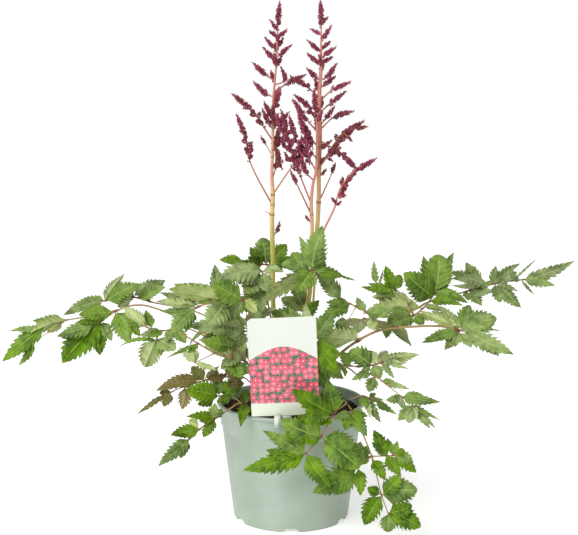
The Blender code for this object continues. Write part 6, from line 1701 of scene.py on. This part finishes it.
class ASTILBE_OT_label(bpy.types.Operator):
    """Build the plant label with its spike and its hook over the rim"""

    bl_idname = "astilbe.label"
    bl_label = "Build Label"

    def execute(self, context):
        look = context.scene.astilbe_label
        half = look.width / MM / 2.0
        tall = look.height / MM
        lean = Matrix.Rotation(radians(LABEL_LEAN_FORWARD), 4, "X")
        lean = Matrix.Translation(LABEL_FOOT) @ lean @ Matrix.Rotation(radians(-LABEL_LEAN_LEFT), 4, "Y")
        draft = Draft()
        columns = 25
        rows = 37
        grid = []
        for row in range(rows):
            z = tall * row / (rows - 1)
            inset = max(0.0, z - (tall - LABEL_CORNER))
            reach = half - LABEL_CORNER + (LABEL_CORNER**2 - inset**2) ** 0.5 if inset > 0.0 else half
            for column in range(columns):
                x = reach * (2.0 * column / (columns - 1) - 1.0)
                bow = 1.1 * (x / half) ** 2 + 0.5 * sin(pi * z / tall)
                grid.append((x, bow - 0.6, z))
        front = np.array(grid)
        front[:, 1] -= LABEL_THICKNESS * 0.4
        back = front + (0.0, LABEL_THICKNESS * 0.8, 0.0)
        index = np.arange(rows * columns).reshape(rows, columns)
        faces = []
        for row in range(rows - 1):
            for column in range(columns - 1):
                a, b, c, d = (
                    index[row, column],
                    index[row, column + 1],
                    index[row + 1, column + 1],
                    index[row + 1, column],
                )
                faces.append((a, b, c, d))
                faces.append(tuple(corner + index.size for corner in (d, c, b, a)))
        rim = [*index[0, :], *index[1:, -1], *index[-1, -2::-1], *index[-2:0:-1, 0]]
        for first, second in zip(rim, [*rim[1:], rim[0]]):
            faces.append((second, first, first + index.size, second + index.size))
        place = np.concatenate([front, back])
        shown = np.concatenate([np.ones(len(front)), np.zeros(len(back))])
        marks = np.stack([place[:, 0], place[:, 2], shown], axis=1)
        turned_place = np.array([(lean @ Vector(point))[:] for point in place])
        draft.add(turned_place, marks, faces, 0)
        card = draft.piece("label_card", [printed_card()], ["plant_label"])
        card.data.set_sharp_from_angle(angle=radians(CARD_SHARP_ANGLE))
        holder = Draft()
        spike = [(0.0, 0.0, 3.0 - SPIKE_LENGTH * share) for share in np.linspace(0.0, 1.0, 8)]
        line = np.array([(lean @ Vector(point))[:] for point in spike])
        holder.strip(line, SPIKE_WIDTH * np.array([1.0, 1, 1, 1, 1, 1, 0.8, 0.25]), 0.8)
        reach = LIP_RADIUS + LABEL_FOOT.y + 2.2
        hook = [
            (HOOK_LEFT, 0.3, 0.5),
            (HOOK_LEFT, -reach + 1.5, 0.5),
            (HOOK_LEFT, -reach, -0.4),
            (HOOK_LEFT, -reach, -5.0),
            (HOOK_LEFT, -reach, -10.4),
        ]
        line = np.array([(LABEL_FOOT + Vector(point))[:] for point in hook])
        holder.strip(line, HOOK_WIDTH * np.array([1.0, 1.0, 1.0, 1.0, 0.8]), 0.9)
        holder.piece("label_holder", [printed_card()], [])
        return {"FINISHED"}


class ASTILBE_OT_leaves(bpy.types.Operator):
    """Build every compound leaf"""

    bl_idname = "astilbe.leaves"
    bl_label = "Build Leaves"

    def execute(self, context):
        look = context.scene.astilbe_foliage
        stalk = petiole_skin()
        sets = {}
        for tone, (upper, lower) in TONES.items():
            sets[tone] = [
                blade_side(tone + "_upper", upper, True),
                blade_side(tone + "_underside", lower, False),
                stalk,
            ]
        leaves = {**LEAVES, **{name: back_leaf(*layout) for name, layout in BACK_LEAVES.items()}}
        for number, (name, leaf) in enumerate(leaves.items()):
            chance = np.random.default_rng(100 + number)
            build_leaf(name, leaf, look, sets["bronze" if name == "leaf_left_bronze" else "living"], chance)
        return {"FINISHED"}


class ASTILBE_OT_flowers(bpy.types.Operator):
    """Build every flower stalk with its buds"""

    bl_idname = "astilbe.flowers"
    bl_label = "Build Flowers"

    def execute(self, context):
        look = context.scene.astilbe_flower
        materials = [stem_skin(), branch_skin(), bud_skin()]
        for number, (name, flower) in enumerate(FLOWERS.items()):
            build_flower(name, flower, look, materials, np.random.default_rng(200 + number))
        return {"FINISHED"}


def soft_light(name, place, aim, size, power):
    """Large square studio light that looks at a point."""
    lamp = bpy.data.lights.new(name, "AREA")
    lamp.energy = power
    lamp.size = size
    made = bpy.data.objects.new(name, lamp)
    made.location = place
    made.rotation_euler = (Vector(aim) - Vector(place)).to_track_quat("-Z", "Y").to_euler()
    bpy.context.scene.collection.objects.link(made)


# Camera, as it stood for the photograph: its place in millimetres, its pitch down and its lens.
CAMERA_PLACE = Vector((-2.3, -1320.0, 488.0))
CAMERA_PITCH = 8.4
CAMERA_LENS = 72.2

# Skylight: its spread, tip and roll in degrees. Key light: its place, aim and size in metres.
SKY_SPREAD = 50.0
SKY_TIP = 28.0
SKY_ROLL = -22.0
KEY_PLACE = (-1.1, -1.5, 1.7)
KEY_AIM = (0.0, 0.0, 0.25)
KEY_SIZE = 1.1


class ASTILBE_OT_stage(bpy.types.Operator):
    """Build the floor, the studio light and the camera"""

    bl_idname = "astilbe.stage"
    bl_label = "Build Stage"

    def execute(self, context):
        look = context.scene.astilbe_stage
        shape = bmesh.new()
        bmesh.ops.create_grid(shape, x_segments=1, y_segments=1, size=30.0)
        floor = built("floor", shape, paper_floor(look))
        world = bpy.data.worlds.new("studio")
        context.scene.world = world
        world.use_nodes = True
        tree = world.node_tree
        sky = tree.nodes["Background"]
        sky.inputs["Color"].default_value = (1.0, 1.0, 1.0, 1.0)
        seen = add(tree, "LightPath", out="Is Camera Ray")
        strength = add(tree, "MapRange", {0: seen, 1: 0.0, 2: 1.0, 3: look.sky, 4: 1.0})
        tree.links.new(strength, sky.inputs["Strength"])
        sun = bpy.data.lights.new("skylight", "SUN")
        sun.energy = look.sun
        sun.angle = radians(SKY_SPREAD)
        above = bpy.data.objects.new("skylight", sun)
        above.rotation_euler = (radians(SKY_TIP), radians(SKY_ROLL), 0.0)
        context.scene.collection.objects.link(above)
        soft_light("key", KEY_PLACE, KEY_AIM, KEY_SIZE, look.key_power)
        camera = bpy.data.cameras.new("camera")
        camera.lens = CAMERA_LENS
        camera.sensor_width = 36.0
        made = bpy.data.objects.new("camera", camera)
        made.location = CAMERA_PLACE * MM
        made.rotation_euler = (radians(90.0 - CAMERA_PITCH), 0.0, 0.0)
        context.scene.collection.objects.link(made)
        context.scene.camera = made
        context.scene.view_settings.view_transform = "Standard"
        return {"FINISHED"}


class ASTILBE_PT_panel(bpy.types.Panel):
    """Lists the steps that build the potted astilbe"""

    bl_idname = "ASTILBE_PT_panel"
    bl_label = "Potted Astilbe"
    bl_space_type = "VIEW_3D"
    bl_region_type = "UI"
    bl_category = "Astilbe"

    def draw(self, context):
        scene = context.scene
        for look in [getattr(scene, setting) for setting in LOOKS]:
            box = self.layout.box()
            for name in look.bl_rna.properties.keys()[2:]:
                box.prop(look, name)
        for step in STEPS:
            self.layout.operator("astilbe." + step)


LOOKS = {
    "astilbe_pot": PotLook,
    "astilbe_foliage": FoliageLook,
    "astilbe_flower": FlowerLook,
    "astilbe_label": LabelLook,
    "astilbe_stage": StageLook,
}
STEPS = ("pot", "soil", "crown", "label", "leaves", "flowers", "stage")
CLASSES = (
    *LOOKS.values(),
    ASTILBE_OT_pot,
    ASTILBE_OT_soil,
    ASTILBE_OT_crown,
    ASTILBE_OT_label,
    ASTILBE_OT_leaves,
    ASTILBE_OT_flowers,
    ASTILBE_OT_stage,
    ASTILBE_PT_panel,
)


def register():
    for kind in CLASSES:
        bpy.utils.register_class(kind)
    for name, kind in LOOKS.items():
        setattr(bpy.types.Scene, name, PointerProperty(type=kind))


def unregister():
    for name in LOOKS:
        delattr(bpy.types.Scene, name)
    for kind in reversed(CLASSES):
        bpy.utils.unregister_class(kind)


def main():
    """Build every piece and the stage."""
    register()
    bpy.ops.astilbe.pot()
    bpy.ops.astilbe.soil()
    bpy.ops.astilbe.crown()
    bpy.ops.astilbe.label()
    bpy.ops.astilbe.leaves()
    bpy.ops.astilbe.flowers()
    bpy.ops.astilbe.stage()


if __name__ == "__main__":
    main()
